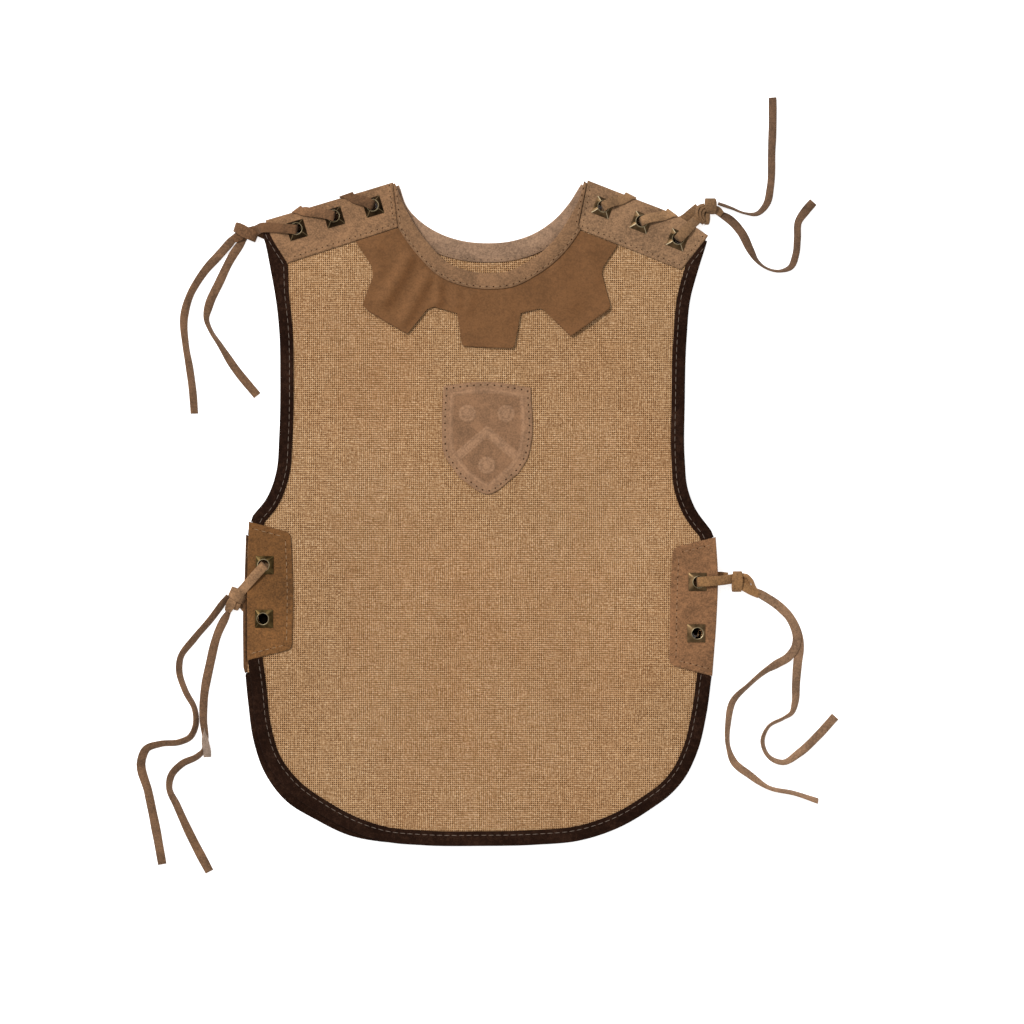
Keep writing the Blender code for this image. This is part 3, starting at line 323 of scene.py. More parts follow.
def onFront(place):
    return frontOver(place) + gap


def underBack(place):
    return backUnder(place) - gap - trimWall


def overTab(place):
    # the height of a thong's middle on a front tab
    return onFront(place) + trimWall + layers["thongClear"] + thongHalf


def addPiece(name, mesh, material, stands=(), sharpFrom=45):
    made = bpy.data.objects.new(name, mesh)
    bpy.context.scene.collection.objects.link(made)
    mesh.materials.append(material)
    mesh.shade_smooth()
    mesh.set_sharp_from_angle(angle=math.radians(sharpFrom))
    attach(made, "root")
    if stands:
        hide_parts(*stands)
    return made


def markMesh(piece, values):
    # each corner's value, for its material to shade by
    piece.data.attributes.new("raised", "FLOAT", "POINT").data.foreach_set("value", values)


def meshFrom(shape, name):
    mesh = bpy.data.meshes.new(name)
    shape.to_mesh(mesh)
    shape.free()
    return mesh


def gridOver(shape, places, marks=None):
    # a grid whose corners go to the places, in millimetres, row by row; marks give each a value to shade by
    rows, columns = places.shape[0] - 1, places.shape[1] - 1
    raised = shape.verts.layers.float.new("raised") if marks is not None else None
    grid = bmesh.ops.create_grid(shape, x_segments=columns, y_segments=rows, size=1)["verts"]
    for corner in grid:
        column = round((corner.co.x + 1) / 2 * columns)
        row = round((1 - corner.co.y) / 2 * rows)
        corner.co = Vector(places[row, column]) * mm
        if raised:
            corner[raised] = marks[row, column]
    return grid


def clothSheet(name, net, heights, wall, material, stands, holes=(), marks=None):
    shape = bmesh.new()
    gridOver(shape, np.dstack([net, heights(net)]), marks)
    if len(holes):
        holes = [Vector((x, y)) * mm for x, y in holes]
        cut = [face for face in shape.faces
               if min((face.calc_center_median().xy - hole).length for hole in holes) < layers["holeRadius"] * mm]
        bmesh.ops.delete(shape, geom=cut, context="FACES")
    piece = addPiece(name, meshFrom(shape, name), material, stands)
    solid = piece.modifiers.new("wall", "SOLIDIFY")
    solid.thickness = wall * mm
    solid.offset = 1
    return piece


def skinOver(shape, rings, closed=False):
    # a tube over rings of points, each joined to itself and to the next
    places = np.array(rings, float)
    places = np.concatenate([places, places[:, :1]], axis=1)
    if closed:
        places = np.concatenate([places, places[:1]], axis=0)
    skin = gridOver(shape, places)
    bmesh.ops.remove_doubles(shape, verts=skin, dist=1e-6)
    if not closed:
        bmesh.ops.holes_fill(shape, edges=[edge for edge in shape.edges if edge.is_boundary], sides=0)


def tubePiece(name, rings, material, stands):
    shape = bmesh.new()
    skinOver(shape, rings)
    bmesh.ops.recalc_face_normals(shape, faces=shape.faces)
    return addPiece(name, meshFrom(shape, name), material, stands, sharpFrom=50)


class Wire:
    # a socket that is summed like a number; each sign adds a Math node
    def __init__(self, recipe, socket):
        self.recipe = recipe
        self.socket = socket

    def out(self, place):
        return Wire(self.recipe, self.socket.node.outputs[place])

    def math(self, operation, *values):
        return self.recipe.add("ShaderNodeMath", {"operation": operation}, dict(enumerate(values)))

    def __add__(self, other):
        return self.math("ADD", self, other)

    def __radd__(self, other):
        return self.math("ADD", other, self)

    def __sub__(self, other):
        return self.math("SUBTRACT", self, other)

    def __rsub__(self, other):
        return self.math("SUBTRACT", other, self)

    def __mul__(self, other):
        return self.math("MULTIPLY", self, other)

    def __rmul__(self, other):
        return self.math("MULTIPLY", other, self)


class Recipe:
    def __init__(self, name):
        self.material = bpy.data.materials.new(name)
        self.material.use_nodes = True
        self.tree = self.material.node_tree
        self.shader = self.tree.nodes["Principled BSDF"]
        self.place = self.add("ShaderNodeTexCoord", {}, {}, 3)

    def add(self, kind, settings, inputs, output=0):
        node = self.tree.nodes.new(kind)
        for key, value in settings.items():
            if key == "stops":
                for spare in list(node.color_ramp.elements)[2:]:
                    node.color_ramp.elements.remove(spare)
                while len(node.color_ramp.elements) < len(value):
                    node.color_ramp.elements.new(0.5)
                for element, (at, colour) in zip(node.color_ramp.elements, value):
                    element.position = at
                    element.color = (*colour, 1)
            else:
                setattr(node, key, value)
        for key, value in inputs.items():
            self.feed(node.inputs[key], value)
        return Wire(self, node.outputs[output])

    def feed(self, socket, value):
        if isinstance(value, Wire):
            self.tree.links.new(value.socket, socket)
        else:
            socket.default_value = value

    def set(self, **values):
        for key, value in values.items():
            self.feed(self.shader.inputs[key.replace("_", " ")], value)

    def stretched(self, x, y, z, turn=0):
        # object coordinates in metres, turned and stretched
        return self.add("ShaderNodeMapping", {"vector_type": "POINT"}, {
            "Vector": self.place, "Scale": (x, y, z), "Rotation": (0, 0, math.radians(turn))})

    def noise(self, vector, detail=2, roughness=0.5, scale=1, distortion=0):
        return self.add("ShaderNodeTexNoise", {}, {
            "Vector": vector, "Scale": scale, "Detail": detail, "Roughness": roughness,
            "Distortion": distortion})

    def mark(self):
        # the value that each corner of the mesh was marked with
        return self.add("ShaderNodeAttribute", {"attribute_name": "raised"}, {}, 2)

    def ramp(self, value, stops):
        return self.add("ShaderNodeValToRGB", {"stops": stops}, {0: value})

    def span(self, value, low, high, start=0, end=1):
        return self.add("ShaderNodeMapRange", {"clamp": True}, {
            0: value, 1: low, 2: high, 3: start, 4: end})

    def blend(self, share, first, second, way="MIX"):
        return self.add("ShaderNodeMix", {"data_type": "RGBA", "blend_type": way}, {
            0: share, 6: first, 7: second}, 2)

    def tinted(self, colour, red, green, blue):
        return self.blend(1, colour, (red, green, blue, 1), "MULTIPLY")

    def bump(self, height, strength, distance):
        return self.add("ShaderNodeBump", {}, {
            "Strength": strength, "Distance": distance, "Height": height})


def paint(red, green, blue, gain=1.0):
    # a colour read off a swatch, 0 to 255, as linear light
    return tuple(
        gain * (c / 12.92 if c <= 0.04045 else ((c + 0.055) / 1.055) ** 2.4)
        for c in (red / 255, green / 255, blue / 255))


# pit: the colour painted as shade in the gaps between the threads
hessianLook = {
    "threadPitch": 1.66, "pit": (54, 28, 10), "dark": (146, 108, 72), "middle": (180, 141, 101),
    "light": (212, 176, 136), "relief": 0.4,
}


def hessian():
    look = hessianLook
    r = Recipe("hessianWeave")
    wander = r.noise(r.stretched(90, 90, 90), 2, 0.5)
    wanderToo = r.noise(r.stretched(84, 84, 84, 37), 2, 0.5)
    x = r.add("ShaderNodeSeparateXYZ", {}, {0: r.place})
    y = x.out(1)
    perThread = 1000 / look["threadPitch"]
    u = x * perThread + (wander - 0.5) * 0.7
    v = y * perThread + (wanderToo - 0.5) * 0.7
    warpRidge = u.math("COSINE", u * (2 * math.pi)) * 0.5 + 0.5
    weftRidge = v.math("COSINE", v * (2 * math.pi)) * 0.5 + 0.5
    turns = u.math("COSINE", u * math.pi) * v.math("COSINE", v * math.pi)
    warpOver = r.span(turns, -0.35, 0.35)
    warpTone = r.noise(r.stretched(640, 60, 1), 2, 0.6)
    weftTone = r.noise(r.stretched(55, 610, 1), 2, 0.6)
    speckle = r.noise(r.stretched(560, 590, 1, 12), 1, 0.5)
    height = (warpRidge * (warpOver * 0.45 + 0.55) * warpOver
              + weftRidge * (1 - warpOver * 0.45) * (1 - warpOver))
    hole = (1 - warpRidge) * (1 - weftRidge)
    tone = warpTone * warpOver + weftTone * (1 - warpOver)
    broad = r.noise(r.stretched(11, 13, 1), 3, 0.55)
    level = tone * 0.45 + speckle * 0.55 + (broad - 0.5) * 0.1
    colour = r.ramp(level, [
        (0.36, paint(*look["dark"])), (0.5, paint(*look["middle"])), (0.66, paint(*look["light"]))])
    warmth = r.noise(r.stretched(9, 7, 1, 20), 2, 0.5)
    colour = r.blend(r.span(warmth, 0.35, 0.65), colour, r.tinted(colour, 1, 0.96, 0.93))
    worn = r.noise(r.stretched(150, 160, 1, 8), 2, 0.6)
    # painted shade: the gaps between the threads are painted in the dark pit colour, darker in some places than
    # others
    colour = r.blend(
        r.span(hole, 0.12, 0.5) * r.span(worn, 0.32, 0.6, 0.65, 1), colour, (*paint(*look["pit"]), 1))
    r.set(Base_Color=colour, Roughness=0.92, Normal=r.bump(height + tone * 0.5, 0.6, look["relief"] * mm),
          Specular_IOR_Level=0.12)
    return r.material


def grain(r, fineSize=(760, 800, 760), napSize=(230, 280, 230, 25), patchSize=(36, 42, 36), distortion=0.6):
    # the three sizes of unevenness that a suede has
    fine = r.noise(r.stretched(*fineSize), 2, 0.65)
    nap = r.noise(r.stretched(*napSize), 4, 0.62)
    return fine, nap, r.noise(r.stretched(*patchSize), 3, 0.6, distortion=distortion)


def mottled(r, level, tone, low, high):
    darker, paler = ([min(255, c * share) for c in tone] for share in (low, high))
    return r.ramp(level, [(0.41, paint(*darker)), (0.5, paint(*tone)), (0.59, paint(*paler))])


def suede(name, tone, mottle=0.2, patchy=0.3, markedShift=0):
    # the last argument: how much paler it goes where its mesh is marked; below zero it goes darker, as for the
    # painted shadow on the back tabs
    r = Recipe(name)
    fine, nap, patch = grain(r)
    level = fine * 0.42 + nap * (0.58 - patchy) + patch * patchy
    colour = mottled(r, level, tone, 1 - mottle, 1 + mottle * 0.8)
    if markedShift:
        colour = r.blend(r.mark(), colour, r.tinted(colour, *[1 + markedShift] * 3))
    rough = r.span(nap, 0.3, 0.7, 0.86, 0.98)
    r.set(Base_Color=colour, Roughness=rough, Normal=r.bump(fine * 0.6 + nap, 0.55, 0.3 * mm),
          Sheen_Weight=0.06, Sheen_Roughness=0.5, Sheen_Tint=(1, 0.9, 0.8, 1), Specular_IOR_Level=0.1)
    return r.material


def tape():
    r = Recipe("bindingTape")
    twill = r.noise(r.stretched(1100, 1100, 1100, 30), 2, 0.7)
    lint = r.noise(r.stretched(300, 300, 300), 3, 0.6)
    worn = r.noise(r.stretched(40, 40, 40), 2, 0.5)
    level = twill * 0.4 + lint * 0.35 + worn * 0.25
    colour = r.ramp(level, [
        (0.38, paint(22, 10, 5)), (0.5, paint(34, 19, 12)), (0.64, paint(56, 37, 27))])
    r.set(Base_Color=colour, Roughness=r.span(lint, 0.3, 0.7, 0.8, 0.96),
          Normal=r.bump(twill, 0.5, 0.2 * mm), Specular_IOR_Level=0.04)
    return r.material


def thread(name, tone):
    r = Recipe(name)
    twist = r.noise(r.stretched(2600, 2600, 2600), 2, 0.6)
    colour = r.ramp(twist, [(0.35, paint(*[c * 0.8 for c in tone])), (0.65, paint(*tone))])
    r.set(Base_Color=colour, Roughness=0.9, Normal=r.bump(twist, 0.4, 0.1 * mm), Specular_IOR_Level=0.05)
    return r.material


def brass(name, dull, bright, rough, metal=1, worn=None):
    r = Recipe(name)
    stain = r.noise(r.stretched(190, 190, 190), 2, 0.5)
    colour = r.ramp(stain, [(0.3, paint(*dull)), (0.7, paint(*bright))])
    # worn edges and painted highlight: where the mesh is marked, along the arrises, the brass takes the bright
    # worn colour
    if worn:
        colour = r.blend(r.span(r.mark(), 0.5, 0.95), colour, (*paint(*worn), 1))
    scratch = r.noise(r.stretched(2200, 900, 1500, 40), 2, 0.6)
    r.set(Base_Color=colour, Roughness=r.span(stain, 0.3, 0.7, rough, rough + 0.2),
          Normal=r.bump(scratch, 0.2, 0.05 * mm), Metallic=metal, Specular_IOR_Level=0.5 * metal)
    return r.material


looks = {
    "tabShoulderLeft": (130, 98, 71), "tabShoulderRight": (132, 102, 76),
    "tabSideLeft": (103, 70, 40), "tabSideRight": (127, 91, 63), "backTabs": (98, 68, 44),
    "frontNeckband": (126, 95, 69), "backNeckband": (143, 115, 93), "collar": (111, 77, 49),
    "shield": (138, 105, 79), "pit": (56, 34, 20),
    "lacing": {
        "shoulder_left": (96, 69, 48), "shoulder_right": (114, 87, 62),
        "side_left": (134, 102, 74), "side_right": (131, 97, 64)},
    "brownTail": (110, 83, 62), "darkerTail": (95, 72, 55), "paleTail": (132, 103, 80),
    "underside": (141, 122, 108),
    "thong": {"mottle": 0.2, "patchy": 0.4}, "paleThong": {"mottle": 0.18, "patchy": 0.4},
    "fadedThong": 0.66,
}
hessianMaterial = hessian()
tapeMaterial = tape()
lacingMaterials = {place: suede(place + "LacingSuede", tone, **looks["thong"], markedShift=looks["fadedThong"])
                   for place, tone in looks["lacing"].items()}
# painted shade: a near-black matte material for the insides of the eyelets and the thong seen through the lower
# ones
holeShade = brass("holeShade", (8, 5, 3), (16, 11, 7), 0.7, 0)
tailMaterials = {
    "shoulder_left": suede("brownTailSuede", looks["brownTail"], **looks["thong"]),
    # the right shoulder's free ends are given the darkest tail tone
    "shoulder_right": suede("darkerTailSuede", looks["darkerTail"], **looks["thong"]),
    "side_right": suede("paleTailSuede", looks["paleTail"], **looks["paleThong"])}
tailMaterials["side_left"] = tailMaterials["shoulder_left"]
greyPick = thread("greyThread", (128, 113, 102))
palePick = thread("ecruThread", (162, 133, 104))
tanPick = thread("tanThread", (166, 134, 104))
# painted shade: small dark discs stand in for the shade in the needle holes
darkPick = thread("needleHoles", looks["pit"])
print("materials made")


view = {"sensor": 36, "lens": 100, "reach": 20, "at": (0.0252, 0.0016, 2.2836)}
camera = bpy.data.objects.new("camera", bpy.data.cameras.new("camera"))
bpy.context.scene.collection.objects.link(camera)
camera.data.sensor_width = view["sensor"]
camera.data.lens = view["lens"]
camera.data.clip_end = view["reach"]
camera.location = view["at"]
bpy.context.scene.camera = camera

thongCut = {
    "width": 7, "onTab": 7.7, "wall": 1.1, "floorClear": 0.2, "corner": 0.22, "widthPlay": 0.05,
    "perPoint": 7, "perRow": 6, "gather": 0.45, "gatherRun": 6, "foldWidth": 6.4, "foldGather": 0.9}


def strapRings(places, faces, folds, width, wall, seed=0.0, taper=0.0, gather=0.0):
    # a fold, where there is one, is the way that the strap's breadth lies
    # taper narrows both ends, and gather the first
    rings = []
    c = thongCut["corner"]
    run = runAlong(places)
    for place, ahead, face, fold, far in zip(places, np.gradient(places, axis=0), faces, folds, run):
        share = min(1, np.linalg.norm(fold))
        side = unit(np.cross(ahead, face)) * (1 - share) + fold
        up = unit(np.cross(side, ahead))
        wander = math.sin(far / 9 + seed) * 0.6 + math.sin(far / 3.7 + 2 * seed) * 0.4
        narrowed = taper * (2 * far / run[-1] - 1) ** 2
        narrowed += gather * math.exp(-((far / thongCut["gatherRun"]) ** 2))
        play = 1 + thongCut["widthPlay"] * wander - narrowed
        w, t = width / 2 * play, wall / 2
        section = [(w, t - c), (w - c, t), (0, t), (c - w, t), (-w, t - c), (-w, c - t), (c - w, -t),
                   (0, -t), (w - c, -t), (w, c - t)]
        rings.append([place + side * a + up * b for a, b in section])
    return rings


def strap(name, route, perPoint, width, material, stands, seed=0.0, gather=0.0):
    line = lineThrough(route, perPoint, placeColumns=3)
    folds = line[:, 6:] if line.shape[1] > 6 else np.zeros((len(line), 3))
    rings = strapRings(line[:, :3], line[:, 3:6], folds, width, thongCut["wall"], seed, gather=gather)
    return tubePiece(name, rings, material, stands), line[:, :3]


def tailRoute(points):
    # the more a flat thong is rolled on its edge, the higher its middle lies
    plan = np.array([point[:2] for point in points], float)
    rows = []
    for (x, y, roll, lift), (alongX, alongY) in zip(points, np.gradient(plan, axis=0)):
        turn = math.radians(roll)
        height = thongCut["floorClear"] + thongHalf * math.cos(turn)
        height += thongCut["width"] / 2 * math.sin(turn) + lift
        lean = math.sin(turn) / math.hypot(alongX, alongY)
        rows.append((x, y, height, -alongY * lean, alongX * lean, math.cos(turn)))
    return rows


# each free end from its knot: place, roll in degrees, lift
tails = {
    "shoulder_left_a": [
        (-194.8, 224.5, 8, 2.6), (-211.1, 206.3, 0, 1), (-220.1, 196.4, 20, 0), (-227, 186.4, 40, 0),
        (-232.5, 176.5, 45, 0), (-237.9, 156.6, 35, 0), (-236.6, 136.6, 50, 0), (-233.3, 116.8, 45, 0),
        (-230.7, 96.9, 40, 0), (-229.5, 80.4, 35, 0)],
    "shoulder_left_b": [
        (-188.5, 222.3, 12, 0), (-199.7, 206, 10, 0), (-209.4, 186.4, 10, 0), (-218.1, 166.6, 30, 0),
        (-219.8, 156.6, 60, 0), (-216.1, 146.6, 70, 0), (-209.6, 136.6, 62, 0), (-196.9, 116.8, 30, 0),
        (-179.2, 95, 8, 0)],
    "shoulder_right_a": [
        (190.4, 249, 55, 0), (201.1, 245.2, 70, 0), (211.3, 241.2, 75, 0), (221.5, 240.6, 62, 0),
        (229.2, 248.3, 45, 0), (232.3, 261.6, 40, 0), (233.4, 290, 40, 0), (234.2, 312.6, 35, 0),
        (234.2, 334, 30, 0)],
    "shoulder_right_b": [
        (188, 242.6, 30, 0), (199.6, 236.4, 15, 0), (209.3, 225.8, 10, 0), (216.4, 211.6, 28, 0),
        (221, 203.6, 60, 0), (229.7, 196.8, 75, 0), (239.9, 194.7, 72, 0), (248.5, 197.8, 55, 0),
        (252.6, 207.5, 45, 0), (254, 220.8, 45, 0), (254.9, 234.4, 38, 0), (260.3, 242.6, 15, 0),
        (267, 250.4, 0, 0)],
    "side_left_a": [
        (-202.4, -65.4, 40, 0), (-216.7, -84.8, 48, 0), (-230.2, -100.6, 45, 0), (-240.8, -115.7, 55, 0),
        (-241.7, -124.5, 55, 0), (-236.6, -142, 58, 0), (-229.2, -156.3, 62, 0), (-228.8, -171, 58, 0),
        (-233, -178.9, 50, 0), (-240.6, -182.6, 48, 0), (-257.4, -184.4, 42, 0), (-268, -188.3, 36, 0),
        (-272, -197, 18, 0), (-266.6, -223.4, 5, 0), (-260, -256, 0, 0), (-255.5, -281.1, 0, 0)],
    "side_left_b": [
        (-201.4, -76.7, 20, 0), (-210.7, -95.4, 12, 0), (-217.3, -120.9, 0, 0), (-221.7, -145, 20, 0),
        (-222.2, -166.1, 40, 0), (-220.6, -181.1, 58, 0), (-221.6, -188.8, 62, 0), (-227, -194.2, 50, 0),
        (-239.3, -200.2, 36, 0), (-248.2, -210, 45, 0), (-249.5, -220.2, 58, 0), (-244, -232.5, 48, 0),
        (-234.8, -253.3, 25, 0), (-222.7, -277.4, 5, 0), (-217.6, -287, 0, 0)],
    "side_right_a": [
        (217.4, -59.85, 4, 1.8), (239.9, -74.4, 4, 1.9), (246.8, -81.4, 6, 1.9), (251.2, -89.1, 8, 1.9),
        (253.4, -97.4, 8, 1.9), (252.4, -106.4, 6, 1.9), (246.6, -114.8, 6, 1.9), (238, -120, 15, 0.6),
        (229.7, -124.8, 50, 0), (215, -137, 60, 0), (202.2, -150.3, 40, 0), (198.5, -167, 50, 0),
        (198.4, -186.1, 62, 0), (203.2, -198.9, 35, 0), (215.7, -209.1, 40, 0), (231, -219.3, 70, 0),
        (251.4, -223.8, 68, 0), (270.6, -230.1, 62, 0)],
    "side_right_b": [
        (216.9, -59.5, 4, 0), (239.9, -74.6, 4, 0), (247.2, -81.8, 6, 0), (252.4, -90, 8, 0),
        (255.2, -98.6, 8, 0), (256, -108.2, 6, 0), (254.5, -118.5, 8, 0), (253, -136.3, 15, 0),
        (252, -152, 35, 0), (249.3, -159.5, 55, 0), (243, -163.6, 68, 0), (231, -170.2, 68, 0),
        (226, -182.2, 62, 0), (231.6, -195, 66, 0), (242.5, -199.1, 62, 0), (255.2, -191.8, 40, 0),
        (270.6, -177.8, 15, 0), (284.6, -162.5, 0, 0)],
}
tailPaths = {}
for seed, (place, points) in enumerate(tails.items()):
    piece, path = strap("tail_piece_" + place, tailRoute(points), thongCut["perPoint"], thongCut["width"],
                        tailMaterials[place[:-2]], ["tail_" + place], seed * 1.7, thongCut["gather"])
    tailPaths[place] = path
# a corner of the left side thong, folded over so that its paler underside shows
foldRoute = [(-221.4, -171.8, 60, 0.3), (-220.8, -179, 40, 2.8), (-220, -184.7, 25, 4.6),
             (-219, -189.5, 15, 4.2), (-218.9, -194.7, 12, 2.6)]
foldPiece = strap("tail_fold_side_left", tailRoute(foldRoute), thongCut["perPoint"], thongCut["foldWidth"],
                  suede("undersideSuede", looks["underside"], **looks["paleThong"]), [], 2.3,
                  thongCut["foldGather"])[0]
print("free thong ends made")


underHeight = layers["thongClear"] + thongHalf
up, down = (0, 0, 1), (0, 0, -1)


def toward(start, end):
    return unit(np.array(end, float) - np.array(start, float))


def row(place, height, face, fold=(0, 0, 0)):
    return (place[0], place[1], float(height), *face, *fold)


def lyingUnder(*spots):
    return [row(spot, underHeight, down) for spot in spots]


def sideways(direction, sign=1):
    return (direction[0] * sign, direction[1] * sign, 0)


def tilted(direction, level, upwards):
    return (direction[0] * level, direction[1] * level, upwards)


def intoBackHole(hole, arrive):
    hole = np.array(hole, float)
    return [
        *lyingUnder(hole - arrive * 9, hole - arrive * 3.4),
        row(hole - arrive * 1.1, underHeight + 0.3, tilted(arrive, 0.5, -0.86)),
        row(hole - arrive * 0.1, underHeight + 1.9, sideways(arrive)),
        row(hole, underHeight + 4.2, sideways(arrive))]


def outOfFrontHole(hole, leave, aside=(0, 0)):
    hole = np.array(hole, float)
    aside = np.array(aside, float)
    crest = onFront(hole) + trimWall + gap + layers["eyeletHeight"] + layers["thongClear"] + thongHalf
    return [
        row(hole, crest - 4.4, sideways(leave, -1)),
        row(hole + leave * 0.1 + aside * 0.3, crest - 1.7, sideways(leave, -1)),
        row(hole + leave * 1.2 + aside * 0.7, crest + 0.1, tilted(leave, -0.5, 0.86)),
        row(hole + leave * 3.6 + aside, crest + 0.35, up), row(hole + leave * 8 + aside, crest + 0.1, up)]


def overEdge(place, arrive, leave, out, crossing, alongEdge):
    # a crossing wrap comes back above the thong's own other end
    place = np.array(place, float)
    high = overTab(place)
    low = underHeight + (layers["thongWall"] + layers["thongClear"] + 0.1 if crossing else 0)
    broad = alongEdge * min(1.6, 1 / np.dot(out, arrive))
    fold = (out[1] * broad + arrive[1] * (1 - alongEdge), -out[0] * broad - arrive[0] * (1 - alongEdge), 0)
    return [
        row(place - arrive * 7.5, high + 0.9, up), row(place, high + 0.35, tilted(out, 0.3, 0.95), fold),
        row(place + out * 1.0, (high + low) / 2, sideways(out), fold),
        row(place + out * 0.2, low + (0.3 if crossing else 0.6), tilted(out, 0.5, -0.86), fold),
        row(place + leave * 9, low, down)]


def shoulderLacing(eyelets, wraps, out, entry, exitRows, crossedWrap=None):
    # each wrap: where it folds over the edge, and how far the fold lies along that edge
    rows = list(entry)
    aside = np.array(out) * 1.3
    arrive = toward(entry[-1][:2], eyelets[0])
    for k, hole in enumerate(eyelets):
        rows += intoBackHole(hole, arrive)
        if k < len(wraps):
            spot, alongEdge = wraps[k]
            leave = toward(hole, spot)
            arrive = toward(spot, eyelets[k + 1])
            rows += outOfFrontHole(hole, leave, aside)
            rows += overEdge(spot, leave, arrive, np.array(out), k == crossedWrap, alongEdge)
        else:
            rows += outOfFrontHole(hole, toward(hole, exitRows[0][:2]))
    return rows + list(exitRows)


def sideLacing(tab, fromKnot, lastOnTab, knotOver):
    low = np.array(tab["eyelets"][1]) + np.array(tab["backShift"])
    high = np.array(tab["eyelets"][0])
    climb = toward(low, high)
    between = gap + 0.4 + layers["thongClear"] + thongHalf
    lowIn, highIn = backOver(low) + between, backOver(high) + between
    return [
        *lyingUnder(*fromKnot), *intoBackHole(low, toward(fromKnot[-1], low)),
        row(low + climb * 1.4, lowIn + 0.05, tilted(climb, -0.5, 0.86)),
        row(low + climb * 7, lowIn + 0.15, up),
        row(high - climb * 7, highIn + 0.25, up),
        row(high - climb * 1.4, highIn + 0.4, tilted(climb, -0.5, 0.86)),
        *outOfFrontHole(high, toward(high, knotOver)),
        row(lastOnTab, overTab(lastOnTab) + 0.3, up), row(knotOver, 6.2, up)]


lacings = {
    "shoulder_left": shoulderLacing(
        tabCut["shoulder_left"]["eyelets"], [((-106.9, 254.5), 0.9), ((-146.5, 242.9), 0.55)], (-0.285, 0.959),
        [row((-177.4, 226.2), 1.6, down),
         *lyingUnder((-168, 222.6), (-152, 215), (-122, 221.6), (-98, 229.6))],
        [row((-163, 228.2), overTab((-163, 228.2)) + 0.6, up),
         row((-173.2, 228.6), overTab((-171, 228.6)) + 0.3, up), row((-180.4, 227.0), 6.0, up),
         row((-186.4, 225.6), 5.0, up)]),
    "shoulder_right": shoulderLacing(
        tabCut["shoulder_right"]["eyelets"], [((119.9, 253.9), 0.8), ((152.9, 240.2), 0.6)], (0.36, 0.933),
        [row((174.8, 245.8), 3, down), row((169.6, 241.6), 2, down), row((164.8, 237.6), 1.2, down),
         *lyingUnder((160.4, 235.2), (154, 234.6), (147.4, 231), (141.6, 222.4), (134, 216.6), (120, 221),
                     (108, 229.8))],
        [row((168.6, 231), overTab((168.7, 230.9)) + 0.3, up), row((173.4, 236), 5.8, up),
         row((178.4, 241.2), 4.8, up)],
        crossedWrap=1),
    "side_left": sideLacing(
        tabCut["side_left"], [(-196.4, -67), (-193, -70.6), (-189.2, -74.4)], (-187.4, -57.6), (-195, -66.2)),
    "side_right": sideLacing(
        tabCut["side_right"], [(198.4, -50.8), (188.8, -50.8), (182.6, -58)], (190.8, -53.2), (202, -51.9)),
}
# the runs of thong that have faded: from which eyelet, to where, and how far
fadedRuns = {
    "shoulder_left": [(1, (-146.5, 242.9), 1)],
    "shoulder_right": [(0, (119.9, 253.9), 0.35), (1, (152.9, 240.2), 1)],
}
fadedKnots = {"shoulder_left": 0.5, "shoulder_right": 0.1}
laceMarks = {"fadeFrom": 5, "fadeOver": 4, "hiddenReach": 11}
for seed, (place, route) in enumerate(lacings.items()):
    piece, _ = strap("thong_" + place, route, thongCut["perRow"], thongCut["onTab"], lacingMaterials[place],
                     ["lace_" + place], seed * 2.3)
    corners = np.array([corner.co.xy for corner in piece.data.vertices]) / mm
    marks = np.zeros(len(corners))
    for hole, fold, share in fadedRuns.get(place, []):
        away = distanceTo(corners, np.array([tabCut[place]["eyelets"][hole], fold]))
        marks = np.maximum(marks, share * (1 - ease((away - laceMarks["fadeFrom"]) / laceMarks["fadeOver"])))
    markMesh(piece, marks)
    if place.startswith("side"):
        # painted shade: where it lies between the panels, near the lower eyelet, it takes the near-black material
        # of the eyelet insides
        piece.data.materials.append(holeShade)
        hidden = Vector(tabCut[place]["eyelets"][1]) * mm
        for face in piece.data.polygons:
            if (face.center.xy - hidden).length < laceMarks["hiddenReach"] * mm:
                face.material_index = 1
print("threaded thongs made")


